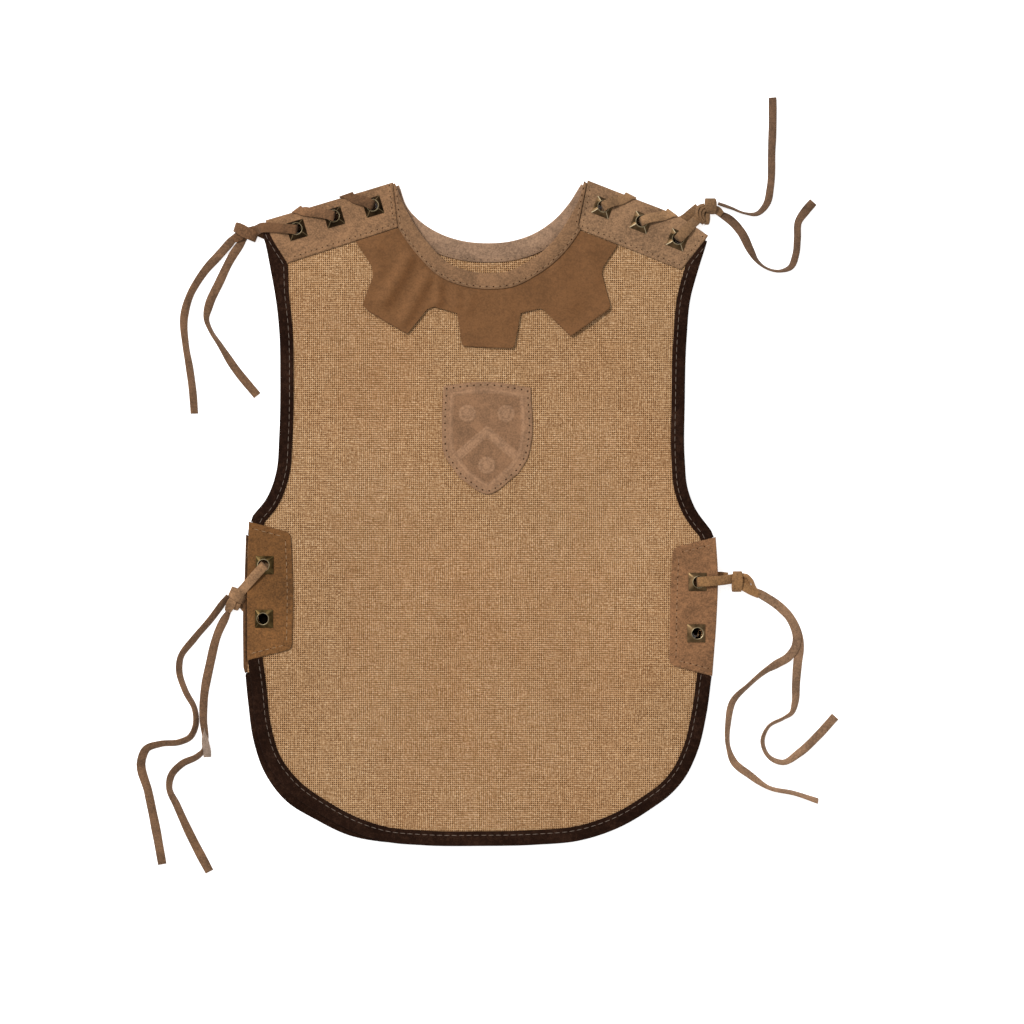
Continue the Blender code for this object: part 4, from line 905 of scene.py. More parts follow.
# each band: its width, then rows of place, height and the way its face looks
knotBands = {
    "shoulder_left": {
        "heart": ((-188, 225.4), (14, 7.5, 5.4), -27),
        "bands": [
            (9, [(-195.8, 229.2, 2, -0.8, 0.3, -0.5), (-196.6, 229.8, 5, -0.95, 0.3, 0.1),
                   (-194, 228.8, 8, -0.3, 0.1, 0.95), (-188.4, 225.8, 9, 0, 0, 1),
                   (-182.6, 222.8, 8.2, 0.3, -0.15, 0.94), (-179.6, 221.2, 5, 0.95, -0.4, 0),
                   (-181, 222, 2, 0.7, -0.3, -0.6)]),
            (6.6, [(-190.6, 222.8, 5.2, -0.2, -0.5, 0.85), (-194.2, 221.8, 4.4, -0.3, -0.4, 0.87),
                   (-198.4, 219.4, 3.2, -0.2, -0.1, 0.97)])]},
    "shoulder_right": {
        "heart": ((181.4, 243), (14, 7.5, 5), 62),
        "bands": [
            (9.2, [(184, 251.6, 2, 0, 0.9, -0.4), (184, 252.4, 5, 0, 1, 0.1),
                   (184, 250.2, 8.2, 0, 0.3, 0.95), (184.2, 246.4, 9, 0, 0, 1),
                   (184.4, 242.6, 8, 0, -0.4, 0.9), (184.4, 240.6, 4.6, 0, -1, 0)]),
            (3.8, [(179.4, 247.6, 6.4, -0.4, 0.6, 0.7), (174.8, 246, 6.2, -0.7, 0.5, 0.55),
                   (172.9, 240.8, 6.2, -0.85, -0.1, 0.5), (174.8, 235.4, 5.8, -0.7, -0.5, 0.5),
                   (178.6, 232.6, 4.6, -0.3, -0.8, 0.5)]),
            (3.8, [(180.2, 246, 7.4, -0.4, 0.6, 0.7), (177, 244.6, 7.2, -0.7, 0.4, 0.6),
                   (175.4, 240.2, 7, -0.85, -0.1, 0.5), (177.2, 235, 6.6, -0.75, -0.4, 0.5),
                   (179.6, 233, 5.4, -0.5, -0.7, 0.5)]),
            (3.6, [(180.6, 243.6, 8, -0.5, 0.5, 0.7), (178.4, 242.2, 7.8, -0.8, 0.2, 0.6),
                   (177.8, 238.8, 7.6, -0.85, -0.1, 0.5), (179.4, 234.8, 7, -0.75, -0.3, 0.5)]),
            (4.8, [(182, 240.4, 6.8, 0.1, 0, 1), (181.6, 236.8, 6.8, 0, -0.2, 0.97),
                   (181.2, 233.2, 5, 0, -0.7, 0.7), (181.2, 232.4, 3, 0, -1, 0)]),
            (6.4, [(184, 244.4, 6, 0.1, 0, 1), (188.6, 243.6, 5, 0.1, 0, 1),
                   (193.6, 240.4, 3.6, 0.1, 0, 1)])]},
    "side_left": {
        "heart": ((-195.4, -67.8), (13, 8, 5.4), 60),
        "bands": [
            (9.4, [(-199.6, -62.4, 2, -0.9, 0.4, -0.2), (-200.2, -61.9, 5, -0.9, 0.4, 0.2),
                   (-197.4, -63.2, 8.2, -0.25, 0.1, 0.96), (-193.2, -65.8, 9, 0.05, 0, 1),
                   (-189.8, -68, 7.4, 0.5, -0.4, 0.77), (-188.8, -68.8, 4.4, 0.8, -0.5, 0.1),
                   (-190, -68.4, 2.2, 0.5, -0.3, -0.7)]),
            (7.4, [(-196, -65.6, 6.4, 0, 0, 1), (-198.2, -69, 6.6, -0.1, 0, 1),
                   (-200.6, -73.8, 5.6, -0.2, -0.3, 0.93), (-202.8, -78.2, 3.4, -0.2, -0.4, 0.87)]),
            (5, [(-193.4, -69.6, 6, 0.1, -0.2, 0.97), (-195, -73.6, 5.2, 0, -0.4, 0.9),
                   (-196.4, -76.8, 2.8, -0.1, -0.8, 0.5)])]},
    "side_right": {
        "heart": ((210.4, -55), (14, 9, 5), -35),
        "bands": [
            (8.6, [(205.3, -61.2, 2, 0, -0.9, -0.3), (205.1, -61.8, 5.2, 0, -1, 0.2),
                   (205.1, -58.8, 8.6, 0, -0.2, 0.97), (205.3, -53.4, 9.2, 0, 0, 1),
                   (205.6, -48.6, 8.2, 0, 0.3, 0.95), (205.8, -46.4, 5, 0, 1, 0.1),
                   (205.8, -47, 2, 0, 0.9, -0.4)]),
            (4.4, [(208.6, -48.4, 4, 0.2, 0.7, 0.6), (213, -49.6, 6.6, 0.4, 0.6, 0.7),
                   (216.8, -53.4, 6.8, 0.7, 0.35, 0.6), (219.2, -58.4, 5.2, 0.8, 0.2, 0.5),
                   (221.4, -62.4, 3, 0.6, 0.3, 0.7)]),
            (7.4, [(206.4, -57.2, 6.2, 0, 0, 1), (212, -58.8, 6.6, 0.05, 0, 1),
                   (217.4, -61.6, 5, 0.1, -0.1, 0.98), (223.4, -65.4, 3, 0.15, -0.1, 0.97)])]},
}
knotCut = {"wall": 1.2, "taper": 0.32, "middle": 3.6}
knotPieces = {}
for place, knot in knotBands.items():
    shape = bmesh.new()
    for k, (width, band) in enumerate(knot["bands"]):
        line = lineThrough(band, thongCut["perRow"], placeColumns=3)
        skinOver(shape, strapRings(
            line[:, :3], line[:, 3:], np.zeros((len(line), 3)), width, knotCut["wall"], k * 1.3,
            knotCut["taper"]))
    (x, y), size, turn = knot["heart"]
    middle = Vector((x, y, knotCut["middle"])) * mm
    stand = Matrix.Translation(middle) @ Matrix.Rotation(math.radians(turn), 4, "Z")
    bmesh.ops.create_icosphere(
        shape, subdivisions=3, radius=0.5, matrix=stand @ Matrix.Diagonal((*[s * mm for s in size], 1)))
    bmesh.ops.recalc_face_normals(shape, faces=shape.faces)
    knotPieces[place] = addPiece(
        "knotted_" + place, meshFrom(shape, "knotted_" + place), lacingMaterials[place],
        ["knot_" + place])
    markMesh(knotPieces[place], [fadedKnots.get(place, 0.0)] * len(knotPieces[place].data.vertices))
print("knots made")

tailFacts = {
    "shoulder_left_a": 0.159, "shoulder_left_b": 0.148, "shoulder_right_a": 0.130, "shoulder_right_b": 0.142,
    "side_left_a": 0.263, "side_left_b": 0.235, "side_right_a": 0.257, "side_right_b": 0.236,
}
for place, length in tailFacts.items():
    path = tailPaths[place]
    print(place, "runs", round(float(np.linalg.norm(np.diff(path, axis=0), axis=1).sum()), 1), "mm")
    path[0] * mm
    path * mm
    ([knotPieces[place[:-2]]] if place.endswith("_a") else
        [foldPiece] if place == "side_left_b" else [])


holeSpots = {
    "front": [spot for tab in tabCut.values() for spot in tab["eyelets"]],
    "back": [
        (x + tab["backShift"][0], y + tab["backShift"][1]) for tab in tabCut.values() for x, y in tab["eyelets"]],
}
for side, heights in (("front", frontUnder), ("back", backUnder)):
    edges = cutEdges(side, panelCut["finer"][side])
    clothSheet(
        side + "_cloth", netBetween(*panelSides(edges)), heights, panelWall, hessianMaterial,
        [side + "_panel"], holeSpots[side])
print("panels made")


bandCut = {
    "armhole": 9.4, "hem": 10.6, "frontNeck": 11.4, "backNeck": 14.2, "finer": 6, "fold": 1.2,
    "foldAngles": (-1.05, -0.5, 0, 0.5, 1.05), "corner": 0.3, "plump": 0.12,
    "underNeck": 0.7, "overCollar": 1.9,
    "armholeStart": 0.17, "endStep": 3, "swing": 4, "flare": 4.2, "flareTo": (24, 62),
}
threadIn = {"binding": 3.2, "light_suede": 1.9}


def roomFrom(point, direction, outline):
    # how far a band reaches before it meets an outline
    reach = math.inf
    for start, end in zip(outline[:-1], outline[1:]):
        step = end - start
        cross = direction[0] * step[1] - direction[1] * step[0]
        if abs(cross) < 1e-9:
            continue
        offset = start - point
        distance = (offset[0] * step[1] - offset[1] * step[0]) / cross
        share = (offset[0] * direction[1] - offset[1] * direction[0]) / cross
        if distance > 0 and 0 <= share <= 1:
            reach = min(reach, distance)
    return reach


tabLines = {
    "front": [netOutline(tabNet(tab)) for tab in tabCut.values()],
    "back": [netOutline(tabNet(tab) + np.array(tab["backShift"])) for tab in tabCut.values()],
}


def bandReach(path, directions, width, lines):
    reaches = []
    for point, into, most in zip(path, directions, np.broadcast_to(width, len(path))):
        free = min(roomFrom(point, into, line) for line in lines)
        reaches.append(max(min(most, free - layers["besideTab"]), layers["leastBand"]))
    return np.array(reaches)


def besideTab(point, ahead, edge):
    # where a walk from the point meets the air beside a tab's edge, and the edge's way into the cloth
    along = unit(edge[-1] - edge[0])
    across = np.array([-along[1], along[0]])
    across = across * np.sign(np.dot(point - edge[0], across))
    away = np.dot(point - edge[0], across) - layers["besideTab"]
    return point - ahead * away / np.dot(ahead, across), along


def carriedOn(path, sideLine, edge):
    # the path goes on along the side from its last point to a tab's edge
    end, along = besideTab(path[-1], unit(sideLine[1] - sideLine[0]), edge)
    count = max(1, round(np.linalg.norm(end - path[-1]) / bandCut["endStep"]))
    walk = path[-1] + (end - path[-1]) * (np.arange(1, count + 1) / count)[:, None]
    return np.vstack([path, walk]), along


def turnedEnds(directions, ends):
    # the last few directions swing round to run beside the tab
    for end, along in ends.items():
        for k in range(bandCut["swing"]):
            place = k if end == 0 else -1 - k
            share = 1 - k / bandCut["swing"]
            directions[place] = unit(directions[place] * (1 - share) + along * share)
    return directions


def bindingPath(path, before=None, after=None):
    ends = {}
    if after:
        path, ends[-1] = carriedOn(path, *after)
    if before:
        path, ends[0] = carriedOn(path[::-1], *before)
        path = path[::-1]
    return path, turnedEnds(inward(path), ends)


def tabEdge(place, edge, side):
    tab = tabCut[place]
    line = np.array(tab[edge]) + (np.array(tab["backShift"]) if side == "back" else 0.0)
    return line[:2] if place == "side_left" else line[:-3:-1]


def foldedBand(name, path, into, width, side, underGap, overGap, material, slotName, stands):
    under, over = (frontUnder, frontOver) if side == "front" else (backUnder, backOver)
    reaches = bandReach(path, into, width, tabLines[side])
    ends = path + into * reaches[:, None]
    low, high, lowEnd, highEnd = under(path), over(path), under(ends), over(ends)
    out, r, plump, corner = gap + trimWall, bandCut["fold"], bandCut["plump"], bandCut["corner"]
    rings = []
    for k, point in enumerate(path):
        far = reaches[k]
        bottom, top = low[k] - underGap - trimWall, high[k] + overGap + trimWall
        bottomEnd, topEnd = lowEnd[k] - underGap - trimWall, highEnd[k] + overGap + trimWall
        section = [(-out + r, bottom)]
        section += [(-out + r * (1 - math.cos(a)),
                     top - r * (1 - math.sin(a)) if a >= 0 else bottom + r * (1 + math.sin(a)))
                    for a in bandCut["foldAngles"]]
        section += [(-out + r, top), (far * 0.5, (top + topEnd) / 2 + plump), (far - corner, topEnd),
                    (far, topEnd - corner), (far, topEnd - trimWall), (-gap, high[k] + overGap),
                    (-gap, low[k] - underGap), (far, bottomEnd + trimWall), (far, bottomEnd)]
        rings.append([(*(point + into[k] * step), height) for step, height in section])
    return tubePiece(name, rings, material, stands), ends - into * threadIn[slotName]


seams = []  # each row of stitches: name, plan line, what it lies on, side, kind
frontNeckMaterial = suede("frontNeckSuede", looks["frontNeckband"], 0.16)
backNeckMaterial = suede("backNeckSuede", looks["backNeckband"], 0.16)
for side in ("front", "back"):
    edges = cutEdges(side, bandCut["finer"])
    skip = round(bandCut["finer"] * bandCut["armholeStart"])
    hem = joined(edges["leftHem"], edges["bottom"], edges["rightHem"][::-1])
    for place, width, (path, into) in (
        ("left_armhole", bandCut["armhole"], bindingPath(
            edges["leftArmhole"][skip:], after=(edges["leftSide"], tabEdge("side_left", "top", side)))),
        ("right_armhole", bandCut["armhole"], bindingPath(
            edges["rightArmhole"][:skip - 1:-1], before=(edges["rightSide"], tabEdge("side_right", "top", side)))),
        ("hem", bandCut["hem"], bindingPath(
            hem, before=(edges["leftSide"][::-1], tabEdge("side_left", "bottom", side)),
            after=(edges["rightSide"][::-1], tabEdge("side_right", "bottom", side)))),
    ):
        node = f"{side}_binding_{place}"
        if place == "left_armhole":
            # broader beside the shoulder tab
            run = runAlong(path)
            start, end = bandCut["flareTo"]
            width = width + bandCut["flare"] * (1 - ease((run - start) / (end - start)))
        piece, line = foldedBand(
            f"{side}_tape_{place}", path, into, width, side, gap, gap, tapeMaterial, "binding", [node])
        seams.append((f"{side}_topstitch_{place}", line, piece, side, "topstitch"))
neckPath = cutEdges("front", bandCut["finer"])["neck"][::-1]
piece, line = foldedBand(
    "front_neck_suede", neckPath, inward(neckPath), bandCut["frontNeck"], "front", bandCut["underNeck"],
    bandCut["overCollar"], frontNeckMaterial, "light_suede", ["front_neckband"])
seams.append(("front_neck_stitches", line, piece, "front", "suede"))
neckPath = cutEdges("back", bandCut["finer"])["neck"][::-1]
piece, line = foldedBand(
    "back_neck_suede", neckPath, inward(neckPath), bandCut["backNeck"], "back", gap, gap, backNeckMaterial,
    "light_suede", ["back_neckband"])
seams.append(("back_neck_stitches", line, piece, "front", "faint"))
seams.append(("back_neck_stitches_under", line, piece, "back", "suede"))
print("bindings made")


tabNames = {"shoulder_left": "tabShoulderLeft", "shoulder_right": "tabShoulderRight",
            "side_left": "tabSideLeft", "side_right": "tabSideRight"}
# painted shadow: where marked, the back tabs' suede goes far darker, a dark line beside the left front tab's edge
backTabMaterial = suede("backTabSuede", looks["backTabs"], markedShift=-0.72)
seamIn = {"shoulder_left": 3.2, "shoulder_right": 3.2, "side_left": 4.6, "side_right": 5.2}
tabStitches = {"side_left": "dashed", "side_right": "suede"}
# the left back tab shows beyond the front one: how much wider it is, down to where, and its shadowed line
shownStrip = {"wide": 0.7, "widerLow": 0.9, "lowFrom": (-50, 35), "endFrom": (-122, 6), "endCut": 1.2,
              "fadesIn": 12, "shadowOut": (-1.3, 0), "shadowWide": (0.4, 0.9)}


def insetLine(net, edge, distance):
    # a line inside one edge of a net, cut off the same distance from the net's other edges
    line = {"top": net[0], "bottom": net[-1][::-1], "left": net[::-1, 0], "right": net[:, -1]}[edge]
    into = -inward(line)
    inner = line + into * distance
    ends = np.vstack([line[0], line[-1]])
    away = np.linalg.norm(inner[:, None] - ends[None], axis=2).min(axis=1)
    return inner[away > distance * 1.25]


for place, tab in tabCut.items():
    net = tabNet(tab, 10)
    # the left side tab's suede goes paler towards its bottom, where its mesh is marked
    material = suede(tabNames[place] + "Suede", looks[tabNames[place]],
                     markedShift=0.3 if place == "side_left" else 0)
    front = clothSheet("front_suede_" + place, net, onFront, trimWall, material,
                       ["front_tab_" + place], tab["eyelets"], marks=ease((-60 - net[..., 1]) / 40))
    shift = np.array(tab["backShift"], float)
    backNet, shadow = net + shift, np.zeros(net.shape[:2])
    if place == "side_left":
        strip = shownStrip
        inFrom = backNet[..., 0] - backNet[:, :1, 0]
        low, end = (ease((start - backNet[..., 1]) / run)
                    for start, run in (strip["lowFrom"], strip["endFrom"]))
        wider = strip["wide"] + strip["widerLow"] * low - strip["endCut"] * end
        backNet[..., 0] -= wider * np.clip(1 - inFrom / strip["fadesIn"], 0, 1)
        # painted shadow: marks the line beside the front tab's edge, to be painted dark
        away = distanceTo(backNet, np.array(tab["left"]) + strip["shadowOut"])
        shadow = 1 - ease((away - strip["shadowWide"][0]) / strip["shadowWide"][1])
    back = clothSheet("back_suede_" + place, backNet, underBack, trimWall, backTabMaterial,
                      ["back_tab_" + place], [np.array(spot) + shift for spot in tab["eyelets"]], marks=shadow)
    for edge in tab["seams"]:
        line = insetLine(net, edge, seamIn[place])
        seams.append((f"front_{edge}_stitches_{place}", line, front, "front", tabStitches.get(place, "fine")))
        seams.append((f"back_{edge}_stitches_{place}", line + shift, back, "back", "suede"))
print("tabs made")


collarCut = {
    # outer edge with how far round the neck each point lies
    "dags": [
        (-99.6, 217.5, 0), (-87, 198.3, 0.06), (-85.7, 190.3, 0.09), (-94.3, 167.8, 0.13), (-91, 163.2, 0.15),
        (-75, 153.4, 0.2), (-58.5, 144.2, 0.25), (-42.6, 163.8, 0.31), (-37.2, 165.8, 0.34),
        (-18.7, 160.5, 0.42), (-15, 136.4, 0.44), (-13.4, 134.2, 0.45), (6, 133.2, 0.53), (25.4, 132.5, 0.6),
        (27.1, 134.2, 0.61), (32.2, 160.6, 0.635), (47.8, 164.5, 0.7), (50.4, 163.2, 0.715),
        (72.4, 142.2, 0.79), (88, 153, 0.84), (103.1, 163.8, 0.885), (103.9, 166.8, 0.9),
        (97, 191.8, 0.945), (98, 197, 0.965), (109.6, 214.6, 1)],
    "ends": ((-66.2, 228.2), (77.2, 227.2)), "tuck": 3, "rows": 44, "perDag": 7,
    "puckers": [
        {"run": [(-58, 204), (-66, 188), (-76, 172)], "wide": 6, "rise": 1.1},
        {"run": [(-42, 190), (-50, 176), (-60, 156)], "wide": 5.5, "rise": 0.9},
        {"run": [(-84, 212), (-80, 196)], "wide": 6, "rise": 0.5},
        {"run": [(-33, 190), (-34, 170)], "wide": 4, "rise": 0.8},
        {"run": [(-20, 186), (-18, 168)], "wide": 4.5, "rise": 0.6},
        {"run": [(-6, 184), (-10, 164)], "wide": 5, "rise": 0.4},
        {"run": [(20, 178), (24, 158)], "wide": 7, "rise": 0.3},
        {"run": [(60, 196), (72, 170)], "wide": 9, "rise": 0.6},
        {"run": [(86, 208), (92, 190)], "wide": 7, "rise": 0.5}],
    "lifts": [
        {"run": [(74, 143), (102, 163)], "wide": 7, "rise": 1.9},
        {"run": [(26, 134), (32, 158)], "wide": 4, "rise": 0.8},
        {"run": [(-57, 146), (-43, 163)], "wide": 4, "rise": 0.8}],
    "raisedRim": 0.35, "rimReach": 5, "light": (-0.7, 0.7), "lightGain": 1.3,
    "tuckedFrom": 10, "tuckedOver": 8,
}


def collarPlay(net):
    away = distanceTo(net, frontEdges["neck"])
    tucked = 1 - ease((away - collarCut["tuckedFrom"]) / collarCut["tuckedOver"])
    return np.clip(folds(net, collarCut["puckers"]), -0.1, 1.2) * (1 - tucked), tucked


def collarHeights(net):
    away = distanceTo(net, np.array([dag[:2] for dag in collarCut["dags"]]))
    play, tucked = collarPlay(net)
    lifted = collarCut["raisedRim"] * np.exp(-((away / collarCut["rimReach"]) ** 2)) * (1 - tucked)
    return onFront(net) + layers["collarLift"] + play + lifted + folds(net, collarCut["lifts"])


def collarSuede():
    # painted shade and highlight: where the puckers slope towards the light the colour is painted paler, and where
    # they slope away, darker
    r = Recipe("collarSuede")
    slope = r.mark()
    fine, nap, patch = grain(r)
    colour = mottled(r, fine * 0.4 + nap * 0.32 + patch * 0.28, looks["collar"], 0.9, 1.08)
    shaded, paler = r.tinted(colour, 0.79, 0.74, 0.68), r.tinted(colour, 1.2, 1.21, 1.24)
    colour = r.blend(r.span(slope, 0.1, 0.5), shaded, colour)
    colour = r.blend(r.span(slope, 0.5, 0.9), colour, paler)
    r.set(Base_Color=colour, Roughness=r.span(nap, 0.3, 0.7, 0.88, 0.98),
          Normal=r.bump(fine * 0.6 + nap, 0.5, 0.26 * mm), Sheen_Weight=0.05, Specular_IOR_Level=0.08)
    return r.material


coarseNeck = frontEdges["neck"][::-1]
tuckedLine = (coarseNeck + inward(coarseNeck) * collarCut["tuck"])[-4:2:-1]
neckLine = evenly(lineThrough(np.vstack([collarCut["ends"][0], tuckedLine, collarCut["ends"][1]]), 8), 200)
dags = np.array(collarCut["dags"])
dagLine = []
for start, end in zip(dags[:-1], dags[1:]):
    for t in np.arange(collarCut["perDag"]) / collarCut["perDag"]:
        dagLine.append(start + (end - start) * t)
dagLine = np.array(dagLine + [dags[-1]])
share = np.linspace(0, 1, len(neckLine))
innerLine = np.column_stack([np.interp(dagLine[:, 2], share, column) for column in neckLine.T])
downShare = np.linspace(0, 1, collarCut["rows"] + 1)[:, None, None]
collarNet = innerLine[None] * (1 - downShare) + dagLine[None, :, :2] * downShare
# painted shade and highlight: each corner is marked by how the puckers slope against the light, for the collar's
# colour
towards = np.array(collarCut["light"])
slope = collarPlay(collarNet - towards)[0] - collarPlay(collarNet + towards)[0]
clothSheet("dagged_suede_collar", collarNet, collarHeights, trimWall, collarSuede(),
           ["dagged_collar"], marks=np.clip(0.5 + slope * collarCut["lightGain"], 0, 1))
print("collar made")


shieldCut = {
    "top": [(-29.5, 102.6), (4.6, 105.9), (40.2, 101)], "bottom": [(-16.6, 29), (5.4, 16), (29.8, 32.3)],
    "left": [(-29.5, 102.6), (-30.8, 68.8), (-29.6, 50), (-16.6, 29)],
    "right": [(40.2, 101), (40.2, 55.5), (37.6, 45), (29.8, 32.3)],
    "steps": 96, "borderIn": 6.9, "borderWide": 0.6, "fieldIn": 8.5, "slant": 0.9, "relief": 0.5,
    "seamIn": 2.4,
    "chevron": {"peak": (5, 66), "slope": 0.85, "wide": 9},
    "roundels": [(-10.5, 80.5), (20.5, 80.5), (5, 39)], "roundel": 6.6,
}


def shieldRaised(net, outline):
    away = distanceTo(net, outline)
    border = np.exp(-(((away - shieldCut["borderIn"]) / shieldCut["borderWide"]) ** 2))
    field = ease((away - shieldCut["fieldIn"]) / 0.8)
    peakX, peakY = shieldCut["chevron"]["peak"]
    line = peakY - abs(net[..., 0] - peakX) * shieldCut["chevron"]["slope"]
    off = abs(net[..., 1] - line) - shieldCut["chevron"]["wide"] / 2
    motif = (1 - ease(off / shieldCut["slant"] + 0.5)) * (1 - 0.7 * np.exp(-(((off + 1.9) / 0.45) ** 2)))
    for spot in shieldCut["roundels"]:
        far = np.linalg.norm(net - np.array(spot), axis=-1)
        disc = 1 - ease((far - shieldCut["roundel"]) / shieldCut["slant"] + 0.5)
        disc = disc * (1 - 0.7 * np.exp(-(((far - shieldCut["roundel"] * 0.62) / 0.5) ** 2)))
        motif = np.maximum(motif, disc)
    return border, field, motif * field


def shieldSuede():
    r = Recipe("shieldSuede")
    raised = r.mark()
    fine, nap, patch = grain(r, [760] * 3, [300] * 3, [70] * 3, 0)
    plain = mottled(r, fine * 0.42 + nap * 0.28 + patch * 0.3, looks["shield"], 0.86, 1.11)
    # the motif is paler and smoother where pressed, and the border ridge is painted paler as a highlight
    sunk, pressedAndHighlit = r.tinted(plain, 0.86, 0.83, 0.8), r.tinted(plain, 1.15, 1.15, 1.15)
    colour = r.blend(r.span(raised, 0.0, 0.45), sunk, plain)
    colour = r.blend(r.span(raised, 0.55, 1.0), colour, pressedAndHighlit)
    rough = r.span(raised, 0.3, 1, 0.92, 0.7)
    r.set(Base_Color=colour, Roughness=rough, Normal=r.bump(fine * 0.5 + nap, 0.5, 0.26 * mm),
          Specular_IOR_Level=0.15)
    return r.material


steps = shieldCut["steps"]
shieldNet = netBetween(*[edgeLine(shieldCut[edge], steps) for edge in ("top", "bottom", "left", "right")])
shieldOutline = netOutline(shieldNet)
border, field, motif = shieldRaised(shieldNet, shieldOutline)
edgeRound = 0.3 * np.exp(-((distanceTo(shieldNet, shieldOutline) / 0.7) ** 2))
relief = shieldCut["relief"]
shieldHeight = onFront(shieldNet) + border * relief + (motif - 1) * field * relief * 0.7 - edgeRound * 0.5
shieldHeight += 0.15 * relief
# painted highlight: the border ridge is marked to be painted paler, besides the pressed motif
shield = clothSheet("suede_shield", shieldNet, lambda net: shieldHeight, trimWall, shieldSuede(),
                    ["shield_patch"], marks=np.clip(0.5 + border * 0.6 - field * 0.5 + motif, 0, 1))
inner = inward(shieldOutline[::-1])[::-1]
shieldSeam = shieldOutline[:-1] + inner[:-1] * shieldCut["seamIn"]
away = distanceTo(shieldSeam, shieldOutline)
seams.append(("shield_stitches", shieldSeam[away > shieldCut["seamIn"] * 0.96], shield, "front", "shield"))
print("shield made")


eyeletCut = {
    "half": 7.2, "brim": 0.35, "lip": 4.95, "hole": 4.35, "top": 1.95, "barrel": 4.6, "flange": 6.0,
    "flangeWall": 0.4, "sides": 48, "aside": 0.8,
}
# each place's cap brass, with worn edges and a painted highlight along the arrises
capBrass = {
    "shoulder_left": brass("darkBrass", (26, 18, 10), (60, 45, 29), 0.3, worn=(112, 95, 69)),
    "shoulder_right": brass("antiqueBrass", (58, 44, 28), (98, 77, 53), 0.3, worn=(190, 172, 140)),
    "side_left": brass("oliveBrass", (52, 40, 22), (94, 76, 46), 0.3, worn=(96, 80, 50)),
    "side_right": brass("rubbedBrass", (76, 59, 39), (116, 92, 65), 0.3, worn=(98, 81, 56))}
lipBrass = brass("lipBrass", (112, 98, 72), (176, 160, 128), 0.28)


def eyeletRing(radius, height, middle, square=False):
    points = []
    for i in range(eyeletCut["sides"]):
        angle = 2 * math.pi * i / eyeletCut["sides"]
        x, y = math.cos(angle), math.sin(angle)
        reach = radius / (max(abs(x), abs(y)) if square else 1)
        points.append((middle[0] + x * reach, middle[1] + y * reach, height))
    return points


def eyeletShape(shape, aside):
    # the lip sits a little to one side of the cap, so the facet across from it is the broadest
    e = eyeletCut
    inside = -(trimWall + gap + panelWall + gap)
    under = inside - e["flangeWall"]
    cap = [(e["half"] - 0.1, gap - 0.05), (e["half"], gap + 0.05), (e["half"], gap + e["brim"] - 0.1),
           (e["half"] - 0.15, gap + e["brim"])]
    tube = [(e["lip"] + 0.1, e["top"] - 0.12), (e["lip"] - 0.1, e["top"] + 0.12),
            ((e["lip"] + e["hole"]) / 2, e["top"] + 0.22), (e["hole"] + 0.05, e["top"] + 0.1),
            (e["hole"], e["top"] - 0.25), (e["hole"], under + 0.1), (e["hole"] + 0.2, under),
            (e["flange"] - 0.1, under), (e["flange"], inside - 0.1), (e["barrel"], inside),
            (e["barrel"], gap - 0.05)]
    rings = [eyeletRing(radius, height, (0, 0), True) for radius, height in cap]
    rings += [eyeletRing(radius, height, aside) for radius, height in tube]
    skinOver(shape, rings, closed=True)
    bmesh.ops.recalc_face_normals(shape, faces=shape.faces)
    # the arrises are marked, for worn edges and a painted highlight
    arris = shape.verts.layers.float.new("raised")
    for corner in shape.verts:
        place = corner.co / mm
        spread = place.xy - Vector(aside) * float(place.z > gap + e["brim"] + 0.2)
        corner[arris] = float(abs(abs(spread.x) - abs(spread.y)) < 0.05)
    for face in shape.faces:
        place = face.calc_center_median() / mm
        out = (place.xy - Vector(aside)).length
        if place.z > e["top"] - 0.14 and out < e["lip"] + 0.1:
            face.material_index = 1
        # the inside of the barrel and its underside take the third material, near-black painted shade
        elif place.z < gap - 0.2 or out < e["hole"] + 0.3 and place.z < e["top"]:
            face.material_index = 2


def standing(x, y, heights):
    # turns an eyelet to lie flat on the cloth under it
    step = 4
    spots = np.array([(x + step, y), (x - step, y), (x, y + step), (x, y - step)], float)
    east, west, north, south = heights(spots)
    normal = Vector((-(east - west), -(north - south), 2 * step))
    return Vector((0, 0, 1)).rotation_difference(normal).to_matrix().to_4x4()


def tabTop(place):
    return onFront(place) + trimWall


for place, tab in tabCut.items():
    for k, (x, y) in enumerate(tab["eyelets"], 1):
        for side in ("front", "back"):
            turn = tab["turn"] if side == "front" else -tab["turn"]
            spot = np.array((x, y)) + (np.array(tab["backShift"]) if side == "back" else 0)
            heights = tabTop if side == "front" else underBack
            level = float(heights(spot))
            stand = standing(*spot, heights) if side == "front" else Matrix.Rotation(math.pi, 4, "X")
            awayX, awayY = {"top": (0, 1), "left": (-1, 0), "right": (1, 0)}[tab["lacedEdge"]]
            shape = bmesh.new()
            aside = np.array((awayX, awayY if side == "front" else -awayY)) * eyeletCut["aside"]
            eyeletShape(shape, aside)
            move = Matrix.Translation(Vector((*spot, level)) * mm) @ stand
            move = move @ Matrix.Rotation(math.radians(turn), 4, "Z")
            bmesh.ops.transform(shape, matrix=move, verts=shape.verts)
            name = f"{side}_brass_{place}_{k}"
            piece = addPiece(name, meshFrom(shape, name), capBrass[place],
                             [f"{side}_eyelet_{place}_{k}"], sharpFrom=28)
            piece.data.materials.append(lipBrass)
            piece.data.materials.append(holeShade)
print("eyelets made")


